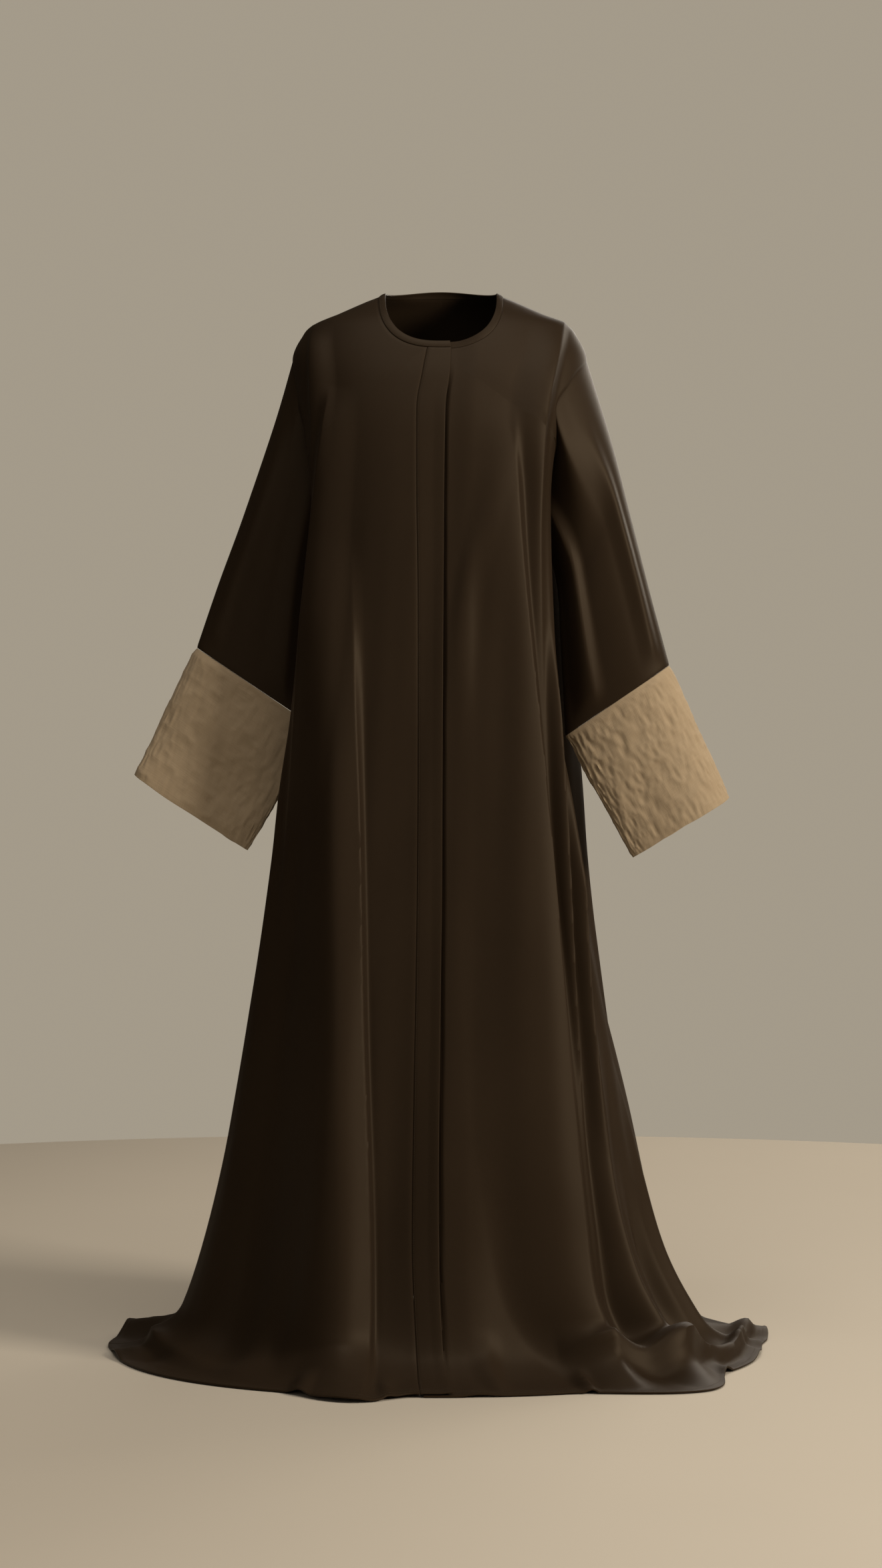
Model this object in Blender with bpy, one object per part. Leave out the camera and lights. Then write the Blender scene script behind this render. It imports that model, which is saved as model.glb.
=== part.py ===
"""Full-length abaya cloak in crepe, with linen cuffs, hollow as it is worn.

Frame: metres, +Z up, the front faces -Y and the wearer's left is +X. The origin is
the centre of the neck at the height of the neck points, where the shoulders hold
the cloth up. The hem lies on the floor, 1.46 m below it.

The body is one surface of rings. An angle runs round it from the centre front (0)
to the wearer's left (+90) or right (-90) and the centre back (180), and a drop runs
down the cloth from the neck points. Every panel is a stretch of that surface, so
panels that are sewn together keep an even gap. Both faces of the cloth are worked
out from the surface, at its outer face and one wall deeper.
"""

import functools
import math

import bmesh
import bpy
from mathutils import Vector

# Driving sizes
NECK_HALF_WIDTH = 0.077
FRONT_NECK_DROP = 0.078
BACK_NECK_RISE = 0.012
NECK_SQUARENESS = 2.6
BINDING_WIDTH = 0.009
NECK_EDGE_DROP = FRONT_NECK_DROP + BINDING_WIDTH
ARMHOLE_TOP = 0.089
UNDERARM = 0.32
HEM = 1.55
CLOTH = 0.0014
DOUBLE_CLOTH = 0.0022
GAP = 0.0003
UNDER_SLACK = 0.0007
UNDER = DOUBLE_CLOTH + GAP + UNDER_SLACK
UNDERLAP_INSET = 0.004
UNDER_FULL = 0.004
UNDER_END = 0.035
BINDING_PROUD = 0.0004
SHOULDER_SHARE = 0.4

# Mesh density
NECK_ROWS = 8
SKIRT_ROWS = 18
FRONT_COLUMNS = 18
BACK_COLUMNS = 16
SLEEVE_ROWS = 8
CUFF_ROWS = 2
SPACING_DROP = 0.75
ROW_GROWTH = 1.4
PLACKET_SHARES = (0.0, 0.028, 0.056)
BAND_SHARES = (0.0, 0.5, 1.0)
CELL_CUTS = (((0, 1, 2), (0, 2, 3)), ((0, 1, 3), (1, 2, 3)))
STEP_ANGLE = 0.4
STEP_DROP = 0.002
STEP_TURN = 2.0
STEP_SHARE = 0.01

# Body rings: drop, height z, half width on the wearer's right, on the left,
# depth in front, depth behind, fullness of the corners
RINGS = (
    (-0.012, 0.012, 0.064, 0.064, 0.004, 0.064, 0.000),
    (0.000, 0.000, 0.077, 0.077, 0.012, 0.070, 0.000),
    (0.012, -0.012, 0.106, 0.105, 0.033, 0.078, 0.000),
    (0.030, -0.030, 0.147, 0.145, 0.057, 0.088, 0.000),
    (0.045, -0.045, 0.180, 0.177, 0.070, 0.095, 0.005),
    (0.060, -0.060, 0.193, 0.189, 0.080, 0.101, 0.010),
    (0.089, -0.089, 0.2055, 0.2018, 0.094, 0.108, 0.020),
    (0.130, -0.130, 0.2045, 0.203, 0.110, 0.113, 0.030),
    (0.200, -0.200, 0.201, 0.201, 0.127, 0.117, 0.040),
    (0.300, -0.300, 0.203, 0.198, 0.135, 0.120, 0.045),
    (0.460, -0.460, 0.216, 0.201, 0.141, 0.130, 0.045),
    (0.580, -0.580, 0.229, 0.206, 0.147, 0.141, 0.045),
    (0.690, -0.690, 0.245, 0.214, 0.153, 0.153, 0.045),
    (0.780, -0.780, 0.252, 0.221, 0.160, 0.165, 0.045),
    (0.890, -0.890, 0.262, 0.235, 0.170, 0.181, 0.040),
    (1.000, -1.000, 0.277, 0.251, 0.181, 0.198, 0.035),
    (1.100, -1.100, 0.292, 0.268, 0.193, 0.216, 0.030),
    (1.200, -1.200, 0.308, 0.286, 0.206, 0.236, 0.030),
    (1.310, -1.310, 0.332, 0.311, 0.222, 0.260, 0.030),
    (1.390, -1.388, 0.356, 0.341, 0.242, 0.284, 0.030),
    (1.435, -1.429, 0.378, 0.363, 0.264, 0.308, 0.030),
    (1.475, -1.449, 0.407, 0.392, 0.297, 0.338, 0.030),
    (1.515, -1.4540, 0.435, 0.422, 0.332, 0.370, 0.025),
    (1.550, -1.4550, 0.453, 0.443, 0.363, 0.400, 0.020),
)

# Where the hem runs out across the floor: degrees round the body, share by which it
# outgrows its ring, spread to the wearer's right, spread to the left
HEM_LOBES = (
    (-13.0, 0.12, 15.0, 9.0),
    (41.0, 0.16, 20.0, 17.0),
    (-92.0, 0.02, 16.0, 12.0),
    (100.0, 0.05, 12.0, 18.0),
)
LOBES_START = 1.40

# Placket band: drop, x of its seam, x of its free edge
PLACKET = (
    (0.078, -0.017, 0.014),
    (0.120, -0.025, 0.012),
    (0.170, -0.033, 0.006),
    (0.460, -0.031, 0.003),
    (0.830, -0.032, 0.001),
    (1.280, -0.038, -0.003),
    (1.435, -0.032, 0.003),
    (1.550, -0.026, 0.016),
)

# Armholes, in degrees forward or back of the side line: drop, wearer's right in front,
# wearer's left in front, both behind
ARMHOLES = (
    (0.089, 0.0, 0.0, 0.0),
    (0.110, 8.0, 22.0, 8.0),
    (0.135, 13.0, 33.0, 14.0),
    (0.165, 15.0, 41.0, 18.0),
    (0.200, 16.0, 38.0, 20.0),
    (0.250, 16.0, 28.0, 16.0),
    (0.290, 10.0, 16.0, 9.0),
    (0.320, 0.0, 0.0, 0.0),
)

# Folds: each has rows of drop, angle of its crest, reach (below 0 for a trough), and
# its spread in degrees towards the wearer's right and towards the left
FOLDS = {
    "right front broad fold": (
        (0.42, -29, 0.000, 16, 6), (0.70, -22, 0.014, 18, 5), (1.05, -16, 0.020, 18, 5),
        (1.32, -12.5, 0.024, 17, 5), (1.43, -13, 0.024, 15, 5), (1.55, -14, 0.006, 14, 6)),
    "right front hollow": (
        (0.45, -56, 0.000, 16, 18), (0.75, -50, -0.012, 18, 18), (1.15, -47, -0.016, 20, 18),
        (1.38, -46, -0.016, 20, 16), (1.47, -45, 0.000, 18, 14)),
    "right front drape from the shoulder": (
        (0.045, -76, 0.000, 6, 12), (0.12, -64, 0.005, 6, 14), (0.22, -60, 0.006, 6, 14),
        (0.40, -62, 0.005, 6, 12), (0.60, -66, 0.000, 6, 12)),
    "left front outer fold": (
        (0.18, 30, 0.000, 18, 5), (0.35, 31, 0.010, 20, 6), (0.67, 36, 0.017, 22, 6),
        (0.96, 36, 0.021, 22, 6), (1.26, 36, 0.026, 20, 6), (1.42, 38, 0.028, 18, 8),
        (1.55, 42, 0.010, 16, 10)),
    "left front second fold": (
        (0.55, 52, 0.000, 6, 8), (0.80, 49, 0.014, 7, 8), (1.05, 45, 0.012, 6, 8),
        (1.25, 43, 0.006, 5, 7), (1.40, 43, 0.000, 5, 7)),
    "left side sweep": (
        (1.12, 56, 0.000, 8, 9), (1.30, 58, 0.012, 8, 9), (1.43, 60, 0.020, 9, 8),
        (1.55, 62, 0.006, 9, 9)),
    "right back fold": (
        (0.22, -136, 0.000, 14, 16), (0.60, -134, 0.012, 16, 16), (1.10, -130, 0.024, 15, 14),
        (1.45, -128, 0.030, 13, 12), (1.55, -128, 0.012, 12, 12)),
    "right back trough": (
        (0.35, -158, 0.000, 12, 12), (0.90, -156, -0.016, 13, 13), (1.36, -153, -0.024, 12, 12),
        (1.47, -153, 0.000, 10, 10)),
    "centre back fold": (
        (0.28, 176, 0.000, 15, 14), (0.80, 177, 0.012, 15, 13), (1.30, 179, 0.024, 13, 12),
        (1.46, 180, 0.028, 12, 11), (1.55, -179, 0.010, 12, 12)),
    "left back trough": (
        (0.30, 152, 0.000, 12, 12), (0.85, 154, -0.015, 13, 12), (1.36, 156, -0.022, 12, 11),
        (1.47, 156, 0.000, 10, 10)),
    "left back fold": (
        (0.25, 128, 0.000, 14, 14), (0.65, 128, 0.014, 14, 15), (1.10, 129, 0.022, 13, 13),
        (1.46, 130, 0.028, 12, 12), (1.55, 131, 0.010, 12, 12)),
}

# Deep side troughs that the sleeves hang in, with the same columns; their floor is flat
# over TROUGH_FLAT of their spread
SIDE_TROUGHS = {
    "right side trough": (
        (0.16, -92, 0.000, 28, 26), (0.22, -92, -0.028, 36, 31), (0.26, -92, -0.043, 39, 35),
        (0.32, -92, -0.053, 40, 38), (0.45, -92, -0.065, 38, 36), (0.60, -93, -0.078, 35, 33),
        (0.78, -94, -0.084, 31, 31), (0.92, -96, -0.050, 30, 29), (1.15, -98, -0.026, 26, 26),
        (1.36, -98, -0.018, 22, 20), (1.47, -98, 0.000, 18, 18)),
    "left side trough": (
        (0.14, 78, 0.000, 30, 38), (0.20, 79, -0.030, 34, 42), (0.26, 80, -0.049, 37, 45),
        (0.32, 80, -0.057, 37, 45), (0.45, 80, -0.064, 36, 42), (0.62, 80, -0.074, 34, 41),
        (0.78, 82, -0.074, 33, 40), (0.92, 86, -0.032, 31, 36), (1.12, 88, -0.013, 30, 30),
        (1.34, 86, -0.010, 27, 24), (1.47, 84, 0.000, 22, 20)),
}

# Sleeves: share of the length, outer x and z, inner x and z, centre y, half depth
SLEEVE_RIGHT = (
    (0.00, 0.2056, -0.0893, 0.1600, -0.3197, 0.003, 0.045),
    (0.25, 0.2330, -0.1850, 0.1640, -0.3850, 0.004, 0.044),
    (0.50, 0.2750, -0.3100, 0.1665, -0.4580, 0.005, 0.038),
    (0.75, 0.3085, -0.4010, 0.1690, -0.5320, 0.006, 0.031),
    (1.00, 0.3392, -0.4906, 0.1720, -0.6030, 0.007, 0.026),
)
SLEEVE_LEFT = (
    (0.00, 0.2019, -0.0893, 0.1520, -0.3197, -0.005, 0.045),
    (0.25, 0.2330, -0.1950, 0.1615, -0.3850, -0.012, 0.050),
    (0.50, 0.2590, -0.2980, 0.1640, -0.4600, -0.014, 0.050),
    (0.75, 0.2870, -0.4080, 0.1680, -0.5370, -0.012, 0.046),
    (1.00, 0.3158, -0.5156, 0.1718, -0.6133, -0.010, 0.042),
)
CUFF_RIGHT_END = (0.4268, -0.6690, 0.2700, -0.7740, 0.006, 0.022)
CUFF_LEFT_END = (0.4000, -0.7010, 0.2675, -0.7840, -0.012, 0.038)
ARMHOLE_CLEAR = 0.0034
ARMHOLE_EASE = 4.0
ARMHOLE_FADE = 0.45
PINCH = 0.6
TROUGH_FLAT = 0.4

CREPE = (0.030, 0.020, 0.012, 1.0)
LINEN = (0.340, 0.240, 0.140, 1.0)


def clear_scene():
    """Remove what the scene holds."""
    for item in list(bpy.data.objects):
        bpy.data.objects.remove(item)


def make_material(name, color, roughness):
    """A cloth material."""
    material = bpy.data.materials.new(name)
    material.use_nodes = True
    shader = material.node_tree.nodes["Principled BSDF"]
    shader.inputs["Base Color"].default_value = color
    shader.inputs["Roughness"].default_value = roughness
    return material


def ease(low, high, value):
    """0 up to low, 1 from high, with a soft change between."""
    share = min(max((value - low) / (high - low), 0.0), 1.0)
    return share * share * (3.0 - 2.0 * share)


@functools.lru_cache(maxsize=None)
def read_table(table, key):
    """The other columns of a table at a key, on a smooth curve through its rows."""
    low = 0
    while low < len(table) - 2 and key > table[low + 1][0]:
        low += 1
    start, end = table[low], table[low + 1]
    before, after = table[max(low - 1, 0)], table[min(low + 2, len(table) - 1)]
    span = end[0] - start[0]
    t = min(max((key - start[0]) / span, 0.0), 1.0)
    values = []
    for column in range(1, len(start)):
        leave = (end[column] - before[column]) / (end[0] - before[0]) * span
        arrive = (after[column] - start[column]) / (after[0] - start[0]) * span
        values.append((2 * t**3 - 3 * t**2 + 1) * start[column]
                      + (t**3 - 2 * t**2 + t) * leave
                      + (3 * t**2 - 2 * t**3) * end[column]
                      + (t**3 - t**2) * arrive)
    return tuple(values)


def share_of_spread(angle, middle, to_right, to_left):
    """How far an angle is across a spread on both sides of a middle, from -1 to 1."""
    away = (angle - middle + 180.0) % 360.0 - 180.0
    return away / (to_left if away > 0 else to_right)


def ring_point(angle, drop):
    """A point of the body's smooth rings."""
    z, right, left, front, back, fullness = read_table(RINGS, drop)
    turn = math.radians(angle)
    side, ahead = math.sin(turn), math.cos(turn)
    swell = 1.0 + fullness * math.sin(2.0 * turn) ** 2
    for middle, growth, to_right, to_left in HEM_LOBES:
        share = share_of_spread(angle, middle, to_right, to_left)
        swell += growth * ease(LOBES_START, HEM, drop) * (1.0 - ease(0.0, 1.0, abs(share)))
    x = (left if side > 0 else right) * side * swell
    y = -(front if ahead > 0 else back) * ahead * swell
    return Vector((x, y, z))


def normal_of(point_at, across, down, step_across, step_down):
    """The outward normal of a surface, from its slopes both ways."""
    along = point_at(across + step_across, down) - point_at(across - step_across, down)
    fall = point_at(across, down + step_down) - point_at(across, down - step_down)
    return fall.cross(along).normalized()


def fold_share(rows, angle, drop):
    """A fold's reach at a drop, and how far across it an angle is, from -1 to 1."""
    crest, height, to_right, to_left = read_table(rows, drop)
    return height, share_of_spread(angle, crest, to_right, to_left)


def fold_reach(angle, drop):
    """How far the folds move the cloth out of its ring."""
    reach = 0.0
    for table, flat in ((FOLDS, 0.0), (SIDE_TROUGHS, TROUGH_FLAT)):
        for rows in table.values():
            if rows[0][0] < drop < rows[-1][0] + STEP_DROP:
                height, share = fold_share(rows, angle, drop)
                reach += height * (1.0 - ease(flat, 1.0, abs(share)))
    return reach


def body_point(angle, drop):
    """A point on the body's outer face, folds and all."""
    out = normal_of(ring_point, angle, drop, STEP_ANGLE, STEP_DROP)
    return ring_point(angle, drop) + out * fold_reach(angle, drop)


def body_layer(angle, drop, depth):
    """A point a given depth inside the body's outer face."""
    if depth == 0.0:
        return body_point(angle, drop)
    out = normal_of(body_point, angle, drop, STEP_ANGLE, STEP_DROP)
    return body_point(angle, drop) - out * depth


def angle_at(x, drop):
    """The angle in front at which a ring has a given x."""
    low, high = 0.0, 90.0
    sign = 1.0 if x > 0 else -1.0
    for _ in range(40):
        middle = (low + high) / 2.0
        if abs(ring_point(sign * middle, drop).x) < abs(x):
            low = middle
        else:
            high = middle
    return sign * low


def neckline(turn, out):
    """Angle and drop of a point a width out from the finished neck edge.

    The turn is 0 at the centre front, 90 at a neck point and 180 at the centre back.
    """
    if abs(turn) <= 90.0:
        power = 2.0 / NECK_SQUARENESS
        wide = abs(math.sin(math.radians(turn))) ** power
        deep = abs(math.cos(math.radians(turn))) ** power
        x = math.copysign((NECK_HALF_WIDTH + out) * wide, turn)
        drop = FRONT_NECK_DROP * deep + out * (SHOULDER_SHARE + (1 - SHOULDER_SHARE) * deep)
        return (math.copysign(90.0, turn) if abs(turn) > 89.9 else angle_at(x, drop)), drop
    rise = math.sin(math.radians(abs(turn) - 90.0)) ** 2
    drop = -BACK_NECK_RISE * rise + out * (SHOULDER_SHARE + (1 - SHOULDER_SHARE) * rise)
    return turn, drop


def neck_turn_at(x):
    """The neckline's turn in front at a given x."""
    wide = abs(x) / (NECK_HALF_WIDTH + BINDING_WIDTH + GAP)
    turn = math.degrees(math.asin(wide ** (NECK_SQUARENESS / 2.0)))
    return math.copysign(turn, x)


def under_depth(angle, drop):
    """How deep the left front lies, because the placket band laps over it."""
    past = ring_point(angle, drop).x - read_table(PLACKET, drop)[1]
    return UNDER * (1.0 - ease(UNDER_FULL, UNDER_END, past))


def armhole_drop(row):
    """The drop of an armhole point, closer together at the top and the underarm."""
    share = 0.5 * (1.0 - math.cos(math.pi * row / NECK_ROWS))
    return ARMHOLE_TOP + (UNDERARM - ARMHOLE_TOP) * share


def armhole_angle(side, behind, drop):
    """The angle of an armhole's edge; side is -1 on the wearer's right, 1 on the left."""
    column = 2 if behind else (0 if side < 0 else 1)
    bulge = max(read_table(ARMHOLES, drop)[column], 0.0)
    return side * (90.0 + bulge if behind else 90.0 - bulge)


def gap_angle(drop, behind):
    """The angle that a seam's gap takes at the side of the body."""
    depth = read_table(RINGS, drop)[4 if behind else 3]
    return math.degrees(GAP / max(depth, GAP))


def skirt_drop(top, row):
    """The drop of a lower row, on an edge that starts at a given drop."""
    return top + (HEM - top) * (row / SKIRT_ROWS) ** ROW_GROWTH


def column_shares(inner, outer, count):
    """Shares of the way between two angles that space columns evenly along the cloth."""
    samples = 240
    lengths = [0.0]
    last = body_point(inner, SPACING_DROP)
    for step in range(1, samples + 1):
        point = body_point(inner + (outer - inner) * step / samples, SPACING_DROP)
        lengths.append(lengths[-1] + (point - last).length)
        last = point
    shares = []
    step = 0
    for column in range(count + 1):
        wanted = lengths[-1] * column / count
        while step < samples and lengths[step] < wanted:
            step += 1
        shares.append(step / samples)
    return shares


def best_triangles(corners):
    """The two triangles of a four-cornered cell that lie best along the cloth.

    Each corner is its outer and inner vertex, and the line between them is its normal.
    """
    spans = [outer.co - inner.co for outer, inner in corners]
    across = corners[2][0].co - corners[0][0].co
    turn = math.copysign(1.0, across.cross(corners[3][0].co - corners[1][0].co).dot(spans[0]))

    def agreement(cut):
        least = 1.0
        for numbers in cut:
            first, second, third = (corners[number][0].co for number in numbers)
            normal = (second - first).cross(third - first).normalized()
            least = min([least] + [turn * normal.dot(spans[number].normalized())
                                   for number in numbers])
        return least

    cut = max(CELL_CUTS, key=agreement)
    return [[corners[number] for number in numbers] for numbers in cut]


def shell(name, patches, material):
    """A closed cloth wall from patches, which are rows of (outer point, inner point).

    Patches and the two ends of a tube's rows are sewn where their outer points meet.
    Both faces are cut into the same triangles, so that they can't cross.
    """
    mesh_data = bmesh.new()
    pairs = {}

    def pair_at(outer, inner):
        key = tuple(round(value, 6) for value in outer)
        if key not in pairs:
            pairs[key] = (mesh_data.verts.new(outer), mesh_data.verts.new(inner))
        return pairs[key]

    for rows in patches:
        grid = [[pair_at(outer, inner) for outer, inner in row] for row in rows]
        for top, bottom in zip(grid, grid[1:]):
            for column in range(len(top) - 1):
                corners = (top[column], bottom[column], bottom[column + 1], top[column + 1])
                for triangle in best_triangles(corners):
                    mesh_data.faces.new([corner[0] for corner in triangle])
                    mesh_data.faces.new([corner[1] for corner in reversed(triangle)])
    inner_of = dict(pairs.values())
    rims = [edge for edge in mesh_data.edges
            if len(edge.link_faces) == 1 and edge.verts[0] in inner_of]
    for edge in rims:
        start, end = edge.verts
        mesh_data.faces.new((start, end, inner_of[end], inner_of[start]))
    bmesh.ops.recalc_face_normals(mesh_data, faces=mesh_data.faces)
    mesh = bpy.data.meshes.new(name)
    mesh_data.to_mesh(mesh)
    mesh_data.free()
    mesh.shade_smooth()
    mesh.materials.append(material)
    return bpy.data.objects.new(name, mesh)


def wall_points(angle, drop, depth, wall):
    """The outer and inner points of the body's cloth."""
    return body_layer(angle, drop, depth), body_layer(angle, drop, depth + wall)


def panel_rows(inner_edge, outer_edge, shares, depth_at):
    """A body panel's rows, between an edge at the neck and one at the armhole and side."""
    rows = []
    for row in range(NECK_ROWS + SKIRT_ROWS + 1):
        start, end = inner_edge(row), outer_edge(row)
        points = []
        for share in shares:
            angle = start[0] + (end[0] - start[0]) * share
            drop = start[1] + (end[1] - start[1]) * share
            points.append(wall_points(angle, drop, depth_at(angle, drop), CLOTH))
        rows.append(points)
    return rows


def side_edge(side, behind):
    """A panel's outer edge: row to angle and drop, down the armhole and the side seam."""
    def edge(row):
        drop = armhole_drop(row) if row <= NECK_ROWS else skirt_drop(UNDERARM, row - NECK_ROWS)
        gap = gap_angle(drop, behind) if behind else 0.0
        if row > NECK_ROWS:
            return side * (90.0 + gap), drop
        return armhole_angle(side, behind, drop) + side * gap, drop
    return edge


def centre_edge(side, last_turn, line_angle):
    """A panel's inner edge: row to angle and drop, round the neck and down a line."""
    def edge(row):
        turn = side * 90.0 + (last_turn - side * 90.0) * min(row, NECK_ROWS) / NECK_ROWS
        angle, drop = neckline(turn, BINDING_WIDTH + GAP)
        if row <= NECK_ROWS:
            return angle, drop
        drop = skirt_drop(drop, row - NECK_ROWS)
        return line_angle(drop), drop
    return edge


def placket_x(column, shift=0.0):
    """How a placket line's x goes with the drop; column 0 is the seam, 1 the free edge."""
    return lambda drop: read_table(PLACKET, drop)[column] + shift


def front_line(x_at):
    """The angle of a line down the front, given as x at a drop."""
    return lambda drop: angle_at(x_at(drop), drop)


def make_fronts(crepe):
    """The two fronts: the left one runs on under the placket band."""
    def shares_at(side):
        start = PLACKET_SHARES[-1]
        spread = column_shares(side * 90.0 * start, side * 90.0, FRONT_COLUMNS - 2)
        return PLACKET_SHARES[:-1] + tuple(start + (1.0 - start) * share for share in spread)

    panels = []
    for name, side, shift, depth_at in (
            ("front_right", -1, -GAP, lambda angle, drop: 0.0),
            ("front_left", 1, UNDERLAP_INSET, under_depth)):
        x_at = placket_x(0, shift)
        rows = panel_rows(centre_edge(side, neck_turn_at(x_at(NECK_EDGE_DROP)), front_line(x_at)),
                          side_edge(side, False), shares_at(side), depth_at)
        panels.append(shell(name, [rows], crepe))
    return panels


def make_back(crepe):
    """The back, in one piece: two halves sewn by their shared centre line."""
    halves = [panel_rows(centre_edge(side, side * 180.0, lambda drop, side=side: side * 180.0),
                         side_edge(side, True),
                         column_shares(side * 180.0, side * 90.0, BACK_COLUMNS),
                         lambda angle, drop: 0.0)
              for side in (-1, 1)]
    return [shell("back", halves, crepe)]


def make_placket(crepe):
    """The folded band down the right front's edge."""
    def band_x(share, drop):
        seam, edge = read_table(PLACKET, drop)
        return seam + (edge - seam) * share

    rows = []
    for row in range(SKIRT_ROWS + 1):
        points = []
        for share in BAND_SHARES:
            turn = neck_turn_at(band_x(share, NECK_EDGE_DROP))
            drop = skirt_drop(neckline(turn, BINDING_WIDTH + GAP)[1], row)
            angle = angle_at(band_x(share, drop), drop)
            points.append(wall_points(angle, drop, 0.0, DOUBLE_CLOTH))
        rows.append(points)
    return [shell("placket_band", [rows], crepe)]


def make_binding(crepe):
    """The binding, from the placket's edge round the neck and in under the placket."""
    seam = neck_turn_at(placket_x(0)(NECK_EDGE_DROP))
    edge = neck_turn_at(placket_x(1)(NECK_EDGE_DROP))
    tuck = neck_turn_at(placket_x(0, UNDERLAP_INSET)(NECK_EDGE_DROP))
    stretches = ((edge, seam, 2), (seam, -90.0, NECK_ROWS), (-90.0, -180.0, NECK_ROWS),
                 (180.0, 90.0, NECK_ROWS), (90.0, tuck, NECK_ROWS))
    rows = []
    for out in (0.0, BINDING_WIDTH):
        points = []
        for number, (start, end, count) in enumerate(stretches):
            lapped = number == len(stretches) - 1
            for step in range(0 if number == 0 else 1, count + 1):
                turn = start + (end - start) * step / count
                angle, drop = neckline(turn, out)
                depth = under_depth(angle, drop) if lapped else 0.0
                points.append(wall_points(angle, drop, depth - BINDING_PROUD, DOUBLE_CLOTH))
        rows.append(points)
    return [shell("neck_binding", [rows], crepe)]


def armhole_point(side, turn):
    """A point of a sleeve's top ring, a gap inside the armhole; turn 0 is its top."""
    behind = turn % 360.0 > 180.0
    share = 0.5 * (1.0 - math.cos(math.radians(turn)))
    drop = ARMHOLE_TOP + GAP + (UNDERARM - ARMHOLE_TOP - 2.0 * GAP) * share
    gap = ARMHOLE_EASE * gap_angle(drop, behind) * abs(math.sin(math.radians(turn)))
    angle = armhole_angle(side, behind, drop)
    point = body_point(angle + (-side if behind else side) * gap, drop)
    return point + Vector((side * ARMHOLE_CLEAR, 0.0, 0.0))


def tube_point(table, side, turn, share):
    """A point on a flattened sleeve or cuff; turn 0 is its outer edge, 90 its front."""
    outer_x, outer_z, inner_x, inner_z, y, half_depth = read_table(table, share)
    around = math.radians(turn)
    lean = 0.5 * (1.0 + math.cos(around))
    thick = half_depth * (1.0 - PINCH * (1.0 - lean))
    return Vector((side * (inner_x + (outer_x - inner_x) * lean),
                   y - thick * math.sin(around),
                   inner_z + (outer_z - inner_z) * lean))


def sleeve_point(table, side, turn, share):
    """A point on a sleeve, which starts in its armhole and becomes a flattened tube."""
    point = tube_point(table, side, turn, share)
    fade = 1.0 - ease(0.0, ARMHOLE_FADE, share)
    if fade > 0.0:
        point += (armhole_point(side, turn) - tube_point(table, side, turn, 0.0)) * fade
    return point


def tube_wall(point_at, side, shares):
    """The rows of a tube's wall, from its surface as point_at(turn, share)."""
    rows = []
    for share in shares:
        points = []
        for step in range(2 * NECK_ROWS + 1):
            turn = 360.0 * (step % (2 * NECK_ROWS)) / (2 * NECK_ROWS)
            out = -side * normal_of(point_at, turn, share, STEP_TURN, STEP_SHARE)
            point = point_at(turn, share)
            points.append((point, point - out * CLOTH))
        rows.append(points)
    return rows


def make_arms(crepe, linen):
    """The sleeves and their cuffs."""
    pieces = []
    for suffix, side, table, end in (("right", -1, SLEEVE_RIGHT, CUFF_RIGHT_END),
                                     ("left", 1, SLEEVE_LEFT, CUFF_LEFT_END)):
        cuff_table = ((0.0,) + table[-1][1:], (1.0,) + end)
        fall = math.dist(table[-1][1:3], end[:2])
        sleeve = tube_wall(functools.partial(sleeve_point, table, side), side,
                           [row / SLEEVE_ROWS for row in range(SLEEVE_ROWS + 1)])
        cuff = tube_wall(functools.partial(tube_point, cuff_table, side), side,
                         [max(row / CUFF_ROWS, 2.0 * GAP / fall) for row in range(CUFF_ROWS + 1)])
        pieces.append(shell("sleeve_" + suffix, [sleeve], crepe))
        pieces.append(shell("cuff_" + suffix, [cuff], linen))
    return pieces


def main():
    """Build the abaya's nine pieces."""
    clear_scene()
    crepe = make_material("crepe", CREPE, 0.6)
    linen = make_material("linen", LINEN, 0.85)
    abaya = bpy.data.collections.new("Abaya cloak")
    bpy.context.scene.collection.children.link(abaya)
    pieces = (make_fronts(crepe) + make_back(crepe) + make_placket(crepe)
              + make_binding(crepe) + make_arms(crepe, linen))
    for piece in pieces:
        abaya.objects.link(piece)


main()
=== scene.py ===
"""Finished look of a full-length abaya cloak in crepe with crinkled linen cuffs.

Metres, +Z up; the front faces -Y and the wearer's left is +X. The tables of rings, seams
and folds are in millimetres and degrees. The body's cloth is one surface of rings: an
angle runs round it from the centre front (0) to the wearer's left (+90) or right (-90) and
the centre back (180), and a drop runs down the cloth from the neck points. Every panel is
cut from that surface, and each arm is a flattened tube. Folds are laid on it one by one.
"""
from __future__ import annotations

import logging
import math
from dataclasses import dataclass, field, replace
from enum import Enum
from typing import Callable, Sequence

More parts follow.
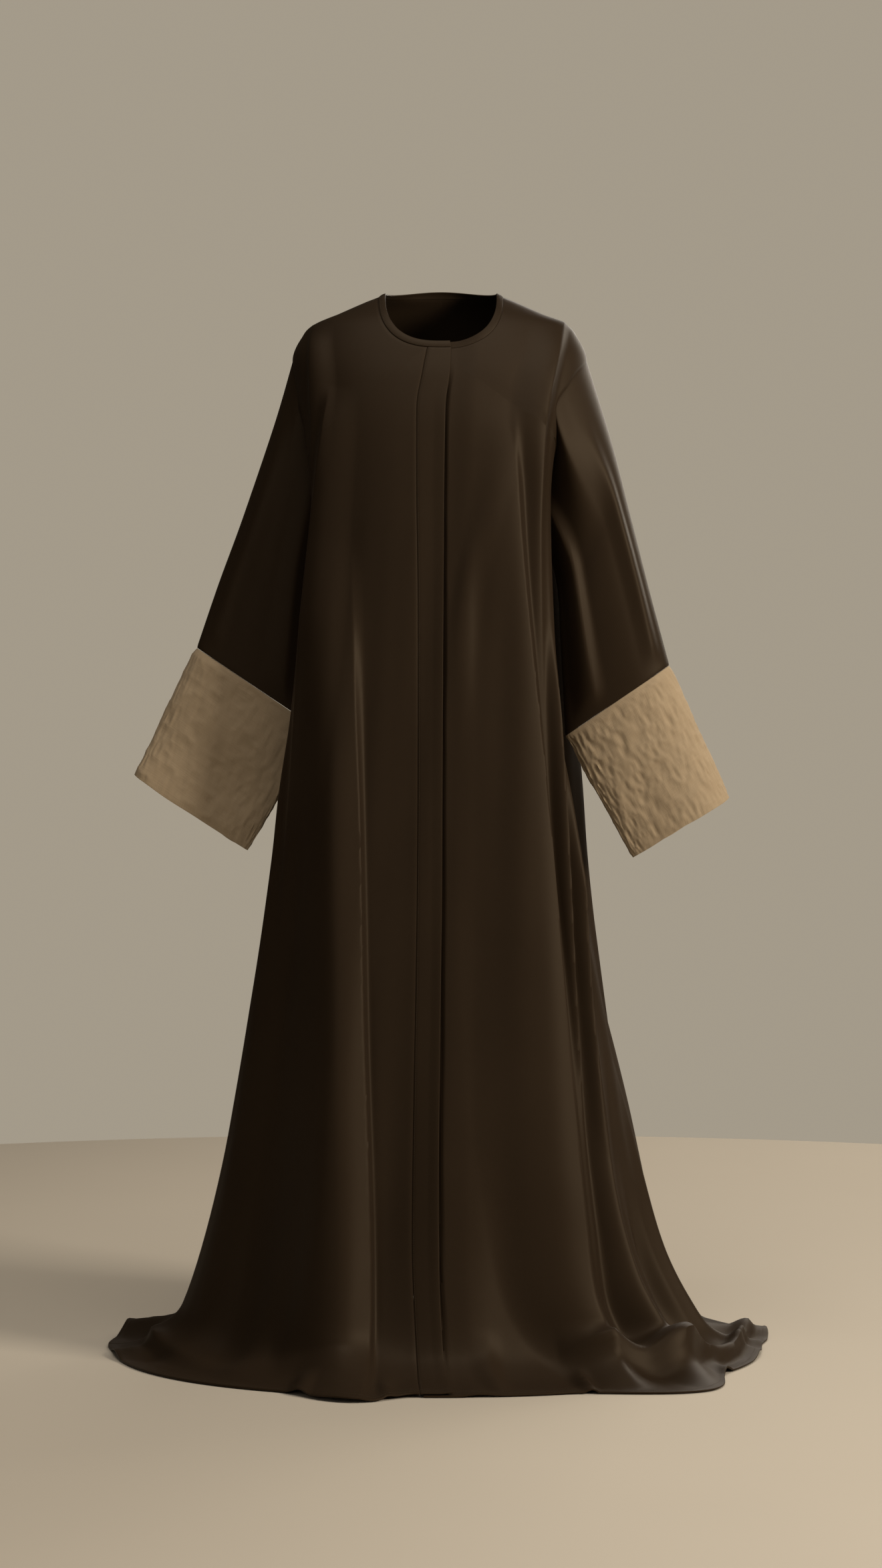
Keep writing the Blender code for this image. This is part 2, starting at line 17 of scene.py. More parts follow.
import bpy
import numpy as np
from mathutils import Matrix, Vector

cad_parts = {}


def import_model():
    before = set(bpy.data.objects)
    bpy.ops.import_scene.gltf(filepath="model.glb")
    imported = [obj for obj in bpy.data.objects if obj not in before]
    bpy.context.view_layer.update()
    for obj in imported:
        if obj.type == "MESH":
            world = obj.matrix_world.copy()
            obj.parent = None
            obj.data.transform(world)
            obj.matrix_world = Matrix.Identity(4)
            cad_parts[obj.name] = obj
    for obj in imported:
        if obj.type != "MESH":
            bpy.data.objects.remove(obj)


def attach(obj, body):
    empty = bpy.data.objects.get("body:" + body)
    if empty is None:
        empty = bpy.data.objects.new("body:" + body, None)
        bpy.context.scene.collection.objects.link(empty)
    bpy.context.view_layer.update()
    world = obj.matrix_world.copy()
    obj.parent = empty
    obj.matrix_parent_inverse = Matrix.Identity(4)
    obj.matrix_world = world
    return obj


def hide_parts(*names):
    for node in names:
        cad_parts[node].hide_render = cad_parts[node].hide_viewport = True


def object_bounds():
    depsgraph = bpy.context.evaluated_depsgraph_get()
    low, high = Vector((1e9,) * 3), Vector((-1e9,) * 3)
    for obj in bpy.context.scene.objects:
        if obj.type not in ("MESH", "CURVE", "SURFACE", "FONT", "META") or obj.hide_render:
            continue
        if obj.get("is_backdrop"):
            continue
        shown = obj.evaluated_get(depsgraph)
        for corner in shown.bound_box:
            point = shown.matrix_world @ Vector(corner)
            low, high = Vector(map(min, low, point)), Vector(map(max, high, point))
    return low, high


LOG = logging.getLogger("abaya")
BODY = "root"
MM = 1000.0
Line = Callable[[np.ndarray], np.ndarray]
Places = tuple[np.ndarray, np.ndarray]
Color = tuple[float, float, float]
Rows = tuple[tuple[float, ...], ...]


class Side(Enum):
    """The wearer's sides."""

    RIGHT = -1
    LEFT = 1


class Flank(Enum):
    """How a fold's side falls from its crest to its foot."""

    SOFT = "soft"
    STEEP = "steep"


class Course(Enum):
    """What a fold's key and crest are; the value holds what each column is divided by.

    FRONT: the crest's x at a drop. ROUND: its degrees round the body at a drop. ROLL: its
    drop at a number of degrees. TUBE: its degrees round a sleeve at a percentage down it.
    """

    FRONT = (MM, MM, MM, MM, MM)
    ROUND = (MM, 1.0, MM, 1.0, 1.0)
    ROLL = (1.0, MM, MM, MM, MM)
    TUBE = (100.0, 1.0, MM, 1.0, 1.0)


def ease(low: float, high: float, value: np.ndarray) -> np.ndarray:
    """0 up to low and 1 from high, with a soft change between."""
    share = np.clip((value - low) / (high - low), 0.0, 1.0)
    return share * share * (3.0 - 2.0 * share)


def half_turns(angle: np.ndarray) -> np.ndarray:
    """Angles brought to between -180 and 180 degrees."""
    return (angle + 180.0) % 360.0 - 180.0


class SmoothTable:
    """A short table whose columns are read along a smooth curve through its rows."""

    def __init__(self, rows: Rows, units: Sequence[float] | float) -> None:
        """Keep the rows, which are in the order of their first column.

        Args:
            rows: A key and its values in each row.
            units: What the columns are divided by, to bring them to the script's units.
        """
        data = np.array(rows, float) / units
        before = np.vstack([data[:1], data[:-1]])
        after = np.vstack([data[1:], data[-1:]])
        self.keys = data[:, 0]
        self.values = data[:, 1:]
        self.slopes = (after[:, 1:] - before[:, 1:]) / (after[:, :1] - before[:, :1])

    def read(self, key: np.ndarray) -> list[np.ndarray]:
        """Read the columns after the first.

        Args:
            key: Places along the first column.

        Returns:
            An array for each column, with its values at the keys.
        """
        key = np.asarray(key, float)
        low = np.clip(np.searchsorted(self.keys, key, side="right") - 1, 0, len(self.keys) - 2)
        span = self.keys[low + 1] - self.keys[low]
        t = np.clip((key - self.keys[low]) / span, 0.0, 1.0)
        weights = (2 * t**3 - 3 * t**2 + 1, (t**3 - 2 * t**2 + t) * span,
                   3 * t**2 - 2 * t**3, (t**3 - t**2) * span)
        return [weights[0] * self.values[low, column] + weights[1] * self.slopes[low, column]
                + weights[2] * self.values[low + 1, column]
                + weights[3] * self.slopes[low + 1, column]
                for column in range(self.values.shape[1])]


@dataclass(frozen=True)
class Fold:
    """One fold, or a trough where its reach is below 0.

    Each row is a key, the crest's place, its reach out of the surface, and its spread to
    lower places and to higher places. A flat share of the spread keeps the whole reach,
    and a lean carries cloth aside, so that a steep flank laps over its foot.
    """

    course: Course
    rows: Rows
    lower: Flank = Flank.SOFT
    upper: Flank = Flank.SOFT
    flat: float = 0.0
    lean: float = 0.0
    past_end: float = 0.01
    rounding: float = 0.06
    steepness: float = 1.6

    def reach(self, place: np.ndarray, key: np.ndarray) -> np.ndarray:
        """How far the fold moves cloth out of its surface.

        Args:
            place: Where the cloth is across the fold.
            key: Where it is along the fold.

        Returns:
            The reach at each place, 0 past the fold's ends and feet.
        """
        table = SmoothTable(self.rows, self.course.value)
        crest, height, lower, upper = table.read(key)
        away = place - crest
        if self.course in (Course.ROUND, Course.TUBE):
            away = half_turns(away)
        share = np.abs(away) / np.where(away > 0, upper, lower)
        share = np.clip((share - self.flat) / (1.0 - self.flat), 0.0, 1.0)
        shape = np.where(away > 0, self.fall(self.upper, share), self.fall(self.lower, share))
        inside = (key > table.keys[0]) & (key < table.keys[-1] + self.past_end)
        return np.where(inside, height * shape, 0.0)

    def fall(self, flank: Flank, share: np.ndarray) -> np.ndarray:
        """How a flank falls from its crest to its foot.

        Args:
            flank: The shape of the fold's side.
            share: How much of the way to the foot each place is.

        Returns:
            The height, from 1 at the crest to 0 at the foot.
        """
        if flank is Flank.SOFT:
            return 1.0 - ease(0.0, 1.0, share)
        bent = np.sqrt(share**2 + self.rounding**2) - self.rounding
        foot = math.sqrt(1.0 + self.rounding**2) - self.rounding
        return np.clip(1.0 - bent / foot, 0.0, 1.0) ** self.steepness


# Body rings, in millimetres: drop, height z, half width on the wearer's right, on the
# left, depth in front, depth behind; then the fullness of the corners, as a share
RINGS = (
    (-12, 12, 64, 64, 4, 64, 0),
    (0, 0, 77, 77, 12, 70, 0),
    (12, -12, 106, 105, 33, 78, 0),
    (30, -30, 147, 145, 57, 88, 0),
    (45, -45, 180, 177, 70, 95, 0.005),
    (60, -60, 193, 189, 80, 101, 0.01),
    (89, -89, 205.5, 201.8, 94, 108, 0.02),
    (130, -130, 204.5, 203, 110, 113, 0.03),
    (200, -200, 201, 201, 127, 117, 0.04),
    (300, -300, 203, 198, 135, 120, 0.045),
    (460, -460, 216, 201, 141, 130, 0.045),
    (580, -580, 229, 206, 147, 141, 0.045),
    (690, -690, 245, 214, 153, 153, 0.045),
    (780, -780, 252, 221, 160, 165, 0.045),
    (890, -890, 262, 235, 170, 181, 0.04),
    (1000, -1000, 277, 251, 181, 198, 0.035),
    (1100, -1100, 292, 268, 193, 216, 0.03),
    (1200, -1200, 308, 286, 206, 236, 0.03),
    (1310, -1310, 332, 311, 222, 260, 0.03),
    (1390, -1388, 356, 341, 242, 284, 0.03),
    (1435, -1429, 378, 363, 264, 308, 0.03),
    (1475, -1449, 407, 392, 297, 338, 0.03),
    (1515, -1456.5, 435, 422, 332, 370, 0.025),
    (1550, -1458, 453, 443, 363, 400, 0.02),
)

# Placket band, in millimetres: drop, x of its seam, x of its free edge
PLACKET = (
    (78, -17, 14),
    (120, -25, 12),
    (170, -33, 6),
    (460, -31, 3),
    (830, -32, 1),
    (1280, -38, -3),
    (1435, -32, 3),
    (1550, -26, 16),
)

# Armholes: drop in millimetres; then degrees forward or back of the side line, for the
# wearer's right in front, the wearer's left in front, and both behind
ARMHOLES = (
    (89, 0, 0, 0),
    (110, 8, 22, 8),
    (135, 13, 33, 14),
    (165, 15, 41, 18),
    (200, 16, 38, 20),
    (250, 16, 28, 16),
    (290, 10, 16, 9),
    (320, 0, 0, 0),
)

# Where the hem runs out across the floor: degrees round the body, share by which it
# outgrows its ring, spread to the wearer's right, spread to the left
HEM_LOBES = (
    (-13.0, 0.12, 15.0, 9.0),
    (41.0, 0.16, 20.0, 17.0),
    (-92.0, 0.02, 16.0, 12.0),
    (100.0, 0.05, 12.0, 18.0),
)

FOLDS = {
    "right front broad fold": Fold(Course.FRONT, (
        (340, -150, 0, 60, 55), (560, -150, 9, 70, 52), (800, -147, 16, 80, 52),
        (1050, -144, 22, 90, 54), (1300, -140, 26, 95, 56), (1420, -141, 24, 90, 56),
        (1490, -142, 12, 85, 56), (1550, -142, 4, 80, 56))),
    "right front fold edge": Fold(Course.FRONT, (
        (360, -122, 0, 120, 18), (560, -119, 8, 150, 17), (750, -115, 13, 180, 16),
        (1000, -112, 18, 200, 17), (1220, -106, 20, 210, 18), (1360, -104, 20, 210, 19),
        (1460, -104, 13, 200, 22), (1550, -106, 3, 200, 26)), upper=Flank.STEEP, lean=0.9),
    "placket fullness": Fold(Course.FRONT, (
        (300, 16, 0, 80, 100), (600, 16, 6, 86, 120), (1000, 14, 10, 88, 150),
        (1350, 12, 13, 88, 170), (1460, 12, 7, 88, 170), (1540, 12, 0, 88, 170))),
    "right front hollow": Fold(Course.ROUND, (
        (450, -56, 0, 16, 18), (750, -50, -14, 18, 18), (1150, -47, -22, 20, 18),
        (1380, -46, -24, 20, 16), (1480, -45, 0, 18, 14))),
    "right front drape from the shoulder": Fold(Course.FRONT, (
        (45, -176, 0, 8, 30), (80, -177, 6, 9, 32), (140, -174, 8, 11, 34), (200, -173, 5, 12, 30),
        (280, -176, 0, 12, 30)), lower=Flank.STEEP),
    "right front side fold": Fold(Course.FRONT, (
        (140, -150, 0, 12, 40), (200, -156, 8, 12, 45), (310, -168, 12, 13, 50),
        (440, -180, 13, 14, 55), (600, -198, 11, 14, 55), (750, -213, 7, 14, 50),
        (920, -228, 0, 14, 50)), lower=Flank.STEEP),
    "right front slack": Fold(Course.FRONT, (
        (850, -190, 0, 40, 40), (1100, -205, 6, 45, 40), (1340, -235, 10, 45, 40),
        (1460, -260, 4, 45, 45), (1540, -270, 0, 45, 45))),
    "left front drape from the shoulder": Fold(Course.FRONT, (
        (30, 172, 0, 50, 10), (90, 158, 9, 50, 14), (147, 144, 14, 50, 15), (200, 136, 14, 45, 14),
        (270, 133, 11, 24, 13), (340, 132, 8, 18, 12), (450, 134, 5, 16, 12), (580, 138, 0, 16, 12)),
        upper=Flank.STEEP),
    "left front outer fold": Fold(Course.FRONT, (
        (170, 98, 0, 60, 12), (260, 101, 8, 65, 12), (350, 105, 14, 70, 12), (500, 116, 20, 75, 12),
        (670, 129, 27, 105, 13), (830, 140, 32, 115, 14), (960, 150, 36, 120, 16),
        (1080, 160, 39, 125, 18), (1180, 168, 42, 125, 21), (1260, 175, 44, 120, 25),
        (1360, 187, 44, 110, 31), (1430, 211, 40, 95, 38), (1500, 240, 18, 70, 44),
        (1540, 258, 0, 70, 44)), upper=Flank.STEEP),
    "left front drag": Fold(Course.FRONT, (
        (240, 78, 0, 30, 30), (340, 52, 3, 22, 30), (450, 28, 3, 22, 30), (600, 18, 0, 22, 30))),
    "left front second fold": Fold(Course.FRONT, (
        (460, 150, 0, 12, 10), (580, 154, 12, 13, 9), (780, 162, 20, 15, 9), (920, 169, 21, 16, 9),
        (1050, 177, 20, 15, 10), (1180, 186, 17, 14, 11), (1300, 199, 13, 14, 13),
        (1400, 216, 0, 14, 14)), upper=Flank.STEEP),
    "left front third fold": Fold(Course.FRONT, (
        (580, 174, 0, 10, 8), (720, 180, 16, 12, 8), (880, 188, 17, 12, 9), (1020, 199, 13, 12, 10),
        (1180, 211, 0, 12, 10)), upper=Flank.STEEP),
    "left side sweep": Fold(Course.FRONT, (
        (980, 204, 0, 20, 18), (1120, 211, 14, 24, 18), (1240, 222, 24, 30, 20),
        (1340, 244, 32, 38, 24), (1410, 274, 36, 42, 28), (1460, 306, 30, 44, 32),
        (1510, 340, 12, 38, 32), (1550, 355, 0, 34, 30)), upper=Flank.STEEP),
    "left side inner crease": Fold(Course.ROUND, (
        (1140, 57, 0, 6, 6), (1280, 60, -12, 6, 6), (1380, 63, -18, 6, 6), (1450, 66, -8, 6, 6),
        (1490, 67, 0, 6, 6))),
    "left side outer roll": Fold(Course.ROUND, (
        (1060, 70, 0, 8, 9), (1220, 71, 10, 8, 9), (1360, 73, 16, 8, 9), (1460, 76, 16, 8, 8),
        (1550, 78, 6, 8, 8)), lower=Flank.STEEP),
    "left floor roll": Fold(Course.ROLL, (
        (24, 1440, 0, 50, 24), (32, 1452, 18, 55, 24), (42, 1468, 32, 60, 22),
        (54, 1480, 30, 60, 22), (64, 1490, 16, 60, 24), (74, 1500, 0, 60, 26)), upper=Flank.STEEP),
    "left outer floor roll": Fold(Course.ROLL, (
        (56, 1500, 0, 30, 16), (66, 1505, 12, 32, 16), (80, 1500, 18, 34, 16),
        (94, 1505, 14, 34, 18), (108, 1510, 0, 34, 18)), upper=Flank.STEEP),
    "left hem tuck": Fold(Course.FRONT, (
        (1470, 178, 0, 20, 10), (1510, 188, 10, 22, 10), (1550, 196, 7, 22, 12)), upper=Flank.STEEP),
    "right front hem tuck": Fold(Course.FRONT, (
        (1460, -78, 0, 12, 20), (1500, -74, 6, 12, 22), (1550, -68, 4, 12, 24)), lower=Flank.STEEP),
    "right front hem ripple": Fold(Course.FRONT, (
        (1480, -172, 0, 22, 16), (1520, -178, 6, 22, 16), (1550, -182, 6, 22, 16))),
    "left front tongue": Fold(Course.FRONT, (
        (1400, 60, 0, 30, 20), (1470, 66, 8, 30, 20), (1520, 76, 7, 26, 22), (1550, 82, 2, 26, 22)),
        upper=Flank.STEEP),
    "right floor roll": Fold(Course.ROLL, (
        (-104, 1440, 0, 50, 30), (-90, 1450, 14, 60, 32), (-74, 1458, 16, 60, 32),
        (-58, 1462, 8, 60, 32), (-44, 1465, 0, 60, 30)), upper=Flank.STEEP),
    "right hem buckle": Fold(Course.ROUND, (
        (1420, -70, 0, 8, 10), (1490, -73, 10, 8, 10), (1550, -77, 6, 8, 10))),
    "right hem flap": Fold(Course.ROUND, (
        (1400, -101, 0, 9, 9), (1470, -102, 20, 9, 9), (1550, -104, 22, 9, 9)), upper=Flank.STEEP),
    "left hem ruffle one": Fold(Course.ROUND, (
        (1440, 84, 0, 5, 5), (1500, 86, 12, 5, 5), (1550, 87, 12, 5, 5)), upper=Flank.STEEP),
    "left hem ruffle two": Fold(Course.ROUND, (
        (1430, 97, 0, 6, 6), (1490, 99, 16, 6, 5), (1550, 101, 15, 6, 5)), upper=Flank.STEEP),
    "left hem ruffle three": Fold(Course.ROUND, (
        (1460, 60, 0, 5, 4), (1510, 58, 6, 5, 4), (1550, 57, 10, 5, 4))),
    "right back fold": Fold(Course.ROUND, (
        (220, -136, 0, 14, 16), (600, -134, 12, 16, 16), (1100, -130, 24, 15, 14),
        (1450, -128, 30, 13, 12), (1550, -128, 12, 12, 12))),
    "right back trough": Fold(Course.ROUND, (
        (350, -158, 0, 12, 12), (900, -156, -16, 13, 13), (1360, -153, -24, 12, 12),
        (1470, -153, 0, 10, 10))),
    "right back crease": Fold(Course.ROUND, (
        (500, -145, 0, 7, 4), (800, -144, 6, 8, 4), (1200, -141, 9, 8, 4), (1420, -140, 0, 8, 4)),
        upper=Flank.STEEP),
    "centre back fold": Fold(Course.ROUND, (
        (280, 176, 0, 15, 14), (800, 177, 12, 15, 13), (1300, 179, 24, 13, 12),
        (1460, 180, 28, 12, 11), (1550, 181, 10, 12, 12))),
    "centre back crease": Fold(Course.ROUND, (
        (160, 171, 0, 5, 9), (400, 170, 5, 4, 10), (900, 168, 8, 4, 10), (1300, 167, 8, 4, 9),
        (1470, 166, 0, 4, 9)), lower=Flank.STEEP),
    "left back trough": Fold(Course.ROUND, (
        (300, 152, 0, 12, 12), (850, 154, -15, 13, 12), (1360, 156, -22, 12, 11),
        (1470, 156, 0, 10, 10))),
    "left back fold": Fold(Course.ROUND, (
        (250, 128, 0, 14, 14), (650, 128, 14, 14, 15), (1100, 129, 22, 13, 13),
        (1460, 130, 28, 12, 12), (1550, 131, 10, 12, 12))),
    "left back crease": Fold(Course.ROUND, (
        (400, 119, 0, 4, 8), (800, 118, 7, 4, 8), (1250, 117, 10, 4, 8), (1450, 116, 0, 4, 8)),
        lower=Flank.STEEP),
    "right side trough": Fold(Course.ROUND, (
        (160, -92, 0, 28, 26), (220, -92, -28, 36, 31), (260, -92, -43, 39, 35),
        (320, -92, -53, 40, 38), (450, -92, -65, 38, 36), (600, -93, -78, 35, 33),
        (780, -94, -84, 31, 31), (920, -96, -50, 30, 29), (1150, -98, -26, 26, 26),
        (1360, -98, -18, 22, 20), (1470, -98, 0, 18, 18)), flat=0.4),
    "left side trough": Fold(Course.ROUND, (
        (140, 78, 0, 30, 38), (200, 79, -30, 34, 42), (260, 80, -49, 37, 45),
        (320, 80, -57, 37, 45), (450, 80, -64, 36, 42), (620, 80, -74, 34, 41),
        (780, 82, -74, 33, 40), (920, 86, -32, 31, 36), (1120, 88, -13, 30, 30),
        (1340, 86, -10, 27, 24), (1470, 84, 0, 22, 20)), flat=0.4),
}

# Slow unevenness of the hanging cloth: waves round the body, waves down it, phase, height
DRIFTS = (
    (5, 0.8, 0.4, 0.0012),
    (9, 1.3, 2.1, 0.0009),
    (14, 0.5, 4.0, 0.0008),
    (23, 1.9, 1.2, 0.0004),
    (37, 1.1, 5.1, 0.00025),
)


@dataclass(frozen=True)
class Seams:
    """Where the body's cloth is cut and sewn, and how thick it is, in metres."""

    neck_half_width: float = 0.077
    front_neck_drop: float = 0.078
    back_neck_rise: float = 0.012
    neck_squareness: float = 2.6
    shoulder_share: float = 0.4
    binding_width: float = 0.009
    armhole_top: float = 0.089
    underarm: float = 0.32
    hem: float = 1.55
    hem_turn: float = 0.013
    gap: float = 0.0003
    cloth: float = 0.0012
    double_cloth: float = 0.0021
    groove: float = 0.0006
    groove_width: float = 0.004
    side_angle: float = 90.0

    def turned_down(self, away: np.ndarray) -> np.ndarray:
        """How deep cloth turns down at a distance from its seam."""
        return self.groove * (1.0 - ease(0.0, self.groove_width, away))


SEAMS = Seams()


class BodySurface:
    """The surface that the body's panels are cut from, with its folds."""

    step_angle: float = 0.3
    step_drop: float = 0.0015
    floor: float = -1.4594
    rest: float = 0.0032
    band_rest: float = 0.0034
    band_reach: tuple[float, float] = (0.03, 0.09)
    lobes_start: float = 1.40
    loose: tuple[float, float] = (0.10, 0.60)
    halvings: int = 40
    neck_point: float = 89.9

    def __init__(self) -> None:
        """Read the tables of rings, placket and armholes."""
        self.rings = SmoothTable(RINGS, (MM, MM, MM, MM, MM, MM, 1.0))
        self.placket = SmoothTable(PLACKET, MM)
        self.armholes = SmoothTable(ARMHOLES, (MM, 1.0, 1.0, 1.0))

    def ring(self, angle: np.ndarray, drop: np.ndarray) -> np.ndarray:
        """Points of the smooth rings, without folds.

        Args:
            angle: Degrees round the body.
            drop: Metres down the cloth.

        Returns:
            The points, with a last axis of x, y and z.
        """
        z, right, left, front, back, fullness = self.rings.read(drop)
        turn = np.radians(angle)
        side, ahead = np.sin(turn), np.cos(turn)
        swell = 1.0 + fullness * np.sin(2.0 * turn) ** 2
        on_floor = ease(self.lobes_start, SEAMS.hem, drop)
        for middle, growth, to_right, to_left in HEM_LOBES:
            away = half_turns(angle - middle)
            share = np.abs(away) / np.where(away > 0, to_left, to_right)
            swell = swell + growth * on_floor * (1.0 - ease(0.0, 1.0, share))
        x = np.where(side > 0, left, right) * side * swell
        y = -np.where(ahead > 0, front, back) * ahead * swell
        return np.stack(np.broadcast_arrays(x, y, z), -1)

    def reach(self, angle: np.ndarray, drop: np.ndarray) -> Places:
        """How far the folds and the cloth's unevenness move it.

        Args:
            angle: Degrees round the body.
            drop: Metres down the cloth.

        Returns:
            The way out of the ring, and the way aside along it.
        """
        turned = half_turns(angle)
        x = self.ring(angle, drop)[..., 0]
        ahead = np.cos(np.radians(angle)) > 0.0
        total = np.zeros(np.broadcast(angle, drop).shape)
        aside = np.zeros(total.shape)
        for fold in FOLDS.values():
            if fold.course is Course.FRONT:
                reach = np.where(ahead, fold.reach(x, drop), 0.0)
            elif fold.course is Course.ROUND:
                reach = fold.reach(turned, drop)
            else:
                reach = fold.reach(drop, turned)
            total += reach
            aside += reach * fold.lean
        loose = ease(*self.loose, drop)
        for around, down, phase, height in DRIFTS:
            wave = np.sin(np.radians(angle) * around + drop * down * 2.0 * math.pi + phase)
            total += wave * height * loose
        return total, aside

    def point(self, angle: np.ndarray, drop: np.ndarray) -> np.ndarray:
        """Points of the cloth's outer face, none of them under the floor.

        Args:
            angle: Degrees round the body.
            drop: Metres down the cloth.

        Returns:
            The points, with a last axis of x, y and z.
        """
        da, dd = self.step_angle, self.step_drop
        around = self.ring(angle + da, drop) - self.ring(angle - da, drop)
        down = self.ring(angle, drop + dd) - self.ring(angle, drop - dd)
        out = np.cross(down, around)
        out /= np.linalg.norm(out, axis=-1, keepdims=True)
        around /= np.linalg.norm(around, axis=-1, keepdims=True)
        reach, aside = self.reach(angle, drop)
        points = self.ring(angle, drop) + out * reach[..., None] + around * aside[..., None]
        lapped = 1.0 - ease(*self.band_reach, np.abs(points[..., 0]))
        least = self.floor + self.rest + self.band_rest * lapped
        points[..., 2] = np.maximum(points[..., 2], least)
        return points

    def normal(self, angle: np.ndarray, drop: np.ndarray) -> np.ndarray:
        """Outward normals of the folded cloth.

        Args:
            angle: Degrees round the body.
            drop: Metres down the cloth.

        Returns:
            A unit vector at each place.
        """
        da, dd = self.step_angle, self.step_drop
        around = self.point(angle + da, drop) - self.point(angle - da, drop)
        lower = np.minimum(drop + dd, SEAMS.hem)
        down = self.point(angle, lower) - self.point(angle, drop - dd)
        out = np.cross(down, around)
        return out / np.linalg.norm(out, axis=-1, keepdims=True)

    def angle_at(self, x: np.ndarray, drop: np.ndarray) -> np.ndarray:
        """The angles in front at which rings have a given x.

        Args:
            x: Metres to the wearer's left.
            drop: Metres down the cloth.

        Returns:
            Degrees round the body, between -90 and 90.
        """
        x, drop = np.broadcast_arrays(np.asarray(x, float), np.asarray(drop, float))
        low, high = np.zeros(x.shape), np.full(x.shape, 90.0)
        sign = np.where(x > 0, 1.0, -1.0)
        for _ in range(self.halvings):
            middle = (low + high) / 2.0
            inside = np.abs(self.ring(sign * middle, drop)[..., 0]) < np.abs(x)
            low = np.where(inside, middle, low)
            high = np.where(inside, high, middle)
        return sign * low

    def placket_angle(self, share: float, shift: float = 0.0) -> Line:
        """A line down the placket.

        Args:
            share: 0 at the band's seam and 1 at its free edge.
            shift: Metres that the line lies to the wearer's left of there.

        Returns:
            A function from drops to angles.
        """
        def line(drop: np.ndarray) -> np.ndarray:
            """The line's angles at the drops."""
            seam, edge = self.placket.read(drop)
            return self.angle_at(seam + (edge - seam) * share + shift, drop)
        return line

    def neckline(self, turn: np.ndarray, out: float) -> Places:
        """Angles and drops a width out from the finished neck edge.

        Args:
            turn: 0 at the centre front, 90 at a neck point, 180 at the centre back.
            out: The width between the neck edge and the points.

        Returns:
            Angles and drops on the body's surface.
        """
        turn = np.asarray(turn, float)
        seams = SEAMS
        behind = np.abs(turn) > 90.0
        front_turn = np.radians(np.where(behind, 90.0, np.abs(turn)))
        power = 2.0 / seams.neck_squareness
        wide = np.sin(front_turn) ** power
        deep = np.clip(np.cos(front_turn), 0.0, 1.0) ** power
        deep = np.where(np.abs(turn) > self.neck_point, 0.0, deep)
        slope = seams.shoulder_share + (1.0 - seams.shoulder_share) * deep
        front_drop = seams.front_neck_drop * deep + out * slope
        x = np.sign(turn) * (seams.neck_half_width + out) * wide
        front_angle = np.where(np.abs(turn) > self.neck_point, np.sign(turn) * 90.0,
                               self.angle_at(x, front_drop))
        rise = np.sin(np.radians(np.maximum(np.abs(turn) - 90.0, 0.0))) ** 2
        slope = seams.shoulder_share + (1.0 - seams.shoulder_share) * rise
        back_drop = -seams.back_neck_rise * rise + out * slope
        return (np.where(behind, turn, front_angle), np.where(behind, back_drop, front_drop))

    def neck_turn_at(self, x: float) -> float:
        """The neckline's turn in front at the panels' neck edge.

        Args:
            x: Metres to the wearer's left.

        Returns:
            Degrees, 0 at the centre front and 90 at a neck point.
        """
        seams = SEAMS
        wide = abs(x) / (seams.neck_half_width + seams.binding_width + seams.gap)
        return math.copysign(math.degrees(math.asin(wide ** (seams.neck_squareness / 2.0))), x)

    def armhole_angle(self, side: Side, behind: bool, drop: np.ndarray) -> np.ndarray:
        """The angles of an armhole's edge.

        Args:
            side: The wearer's side.
            behind: Whether the edge is the back's, not the front's.
            drop: Metres down the cloth.

        Returns:
            Degrees round the body.
        """
        column = 2 if behind else (0 if side is Side.RIGHT else 1)
        bulge = np.maximum(self.armholes.read(drop)[column], 0.0)
        return side.value * (90.0 + bulge if behind else 90.0 - bulge)

    def gap_angle(self, drop: np.ndarray, behind: bool) -> np.ndarray:
        """Degrees that a seam's gap takes at the side, in front or behind."""
        depth = self.rings.read(drop)[4 if behind else 3]
        return np.degrees(SEAMS.gap / np.maximum(depth, SEAMS.gap))


SURFACE = BodySurface()
TURNED_EDGE = 0.0004
TURNED_ANGLE = 60.0
SEWN_STEPS = 1e6


@dataclass
class Patch:
    """A stretch of cloth: outer points, inner points and places on the flat cut."""

    outer: np.ndarray
    inner: np.ndarray
    cut: np.ndarray

    def quads(self) -> np.ndarray:
        """The grid's faces, as four point numbers each, that look out of the cloth."""
        rows, columns = self.outer.shape[:2]
        ids = np.arange(rows * columns).reshape(rows, columns)
        quad = np.stack([ids[:-1, :-1], ids[1:, :-1], ids[1:, 1:], ids[:-1, 1:]], -1)
        across = self.outer[:-1, 1:] - self.outer[:-1, :-1]
        down = self.outer[1:, :-1] - self.outer[:-1, :-1]
        out = self.outer[:-1, :-1] - self.inner[:-1, :-1]
        facing = np.einsum("ijk,ijk->ij", np.cross(down, across), out).sum()
        return quad.reshape(-1, 4)[:, ::1 if facing > 0.0 else -1]


def run_lengths(points: np.ndarray, axis: int) -> np.ndarray:
    """Lengths along a grid of points.

    Args:
        points: The grid, rows down the cloth and columns across it.
        axis: 0 to run down the cloth and 1 to run across it.

    Returns:
        The length to each point, from 0 at the grid's start.
    """
    steps = np.linalg.norm(np.diff(points, axis=axis), axis=-1)
    zero = np.zeros_like(np.take(steps, [0], axis=axis))
    return np.concatenate([zero, np.cumsum(steps, axis=axis)], axis=axis)


def grid_normals(points: np.ndarray, closed: bool) -> np.ndarray:
    """Normals of a grid of points.

    Args:
        points: The grid, rows down the cloth and columns across it.
        closed: Whether the columns close into a tube.

    Returns:
        A unit vector at each point.
    """
    down = np.gradient(points, axis=0)
    if closed:
        ring = points[:, :-1]
        across = np.roll(ring, -1, axis=1) - np.roll(ring, 1, axis=1)
        across = np.concatenate([across, across[:, :1]], axis=1)
    else:
        across = np.gradient(points, axis=1)
    out = np.cross(down, across)
    return out / np.maximum(np.linalg.norm(out, axis=-1, keepdims=True), 1e-12)


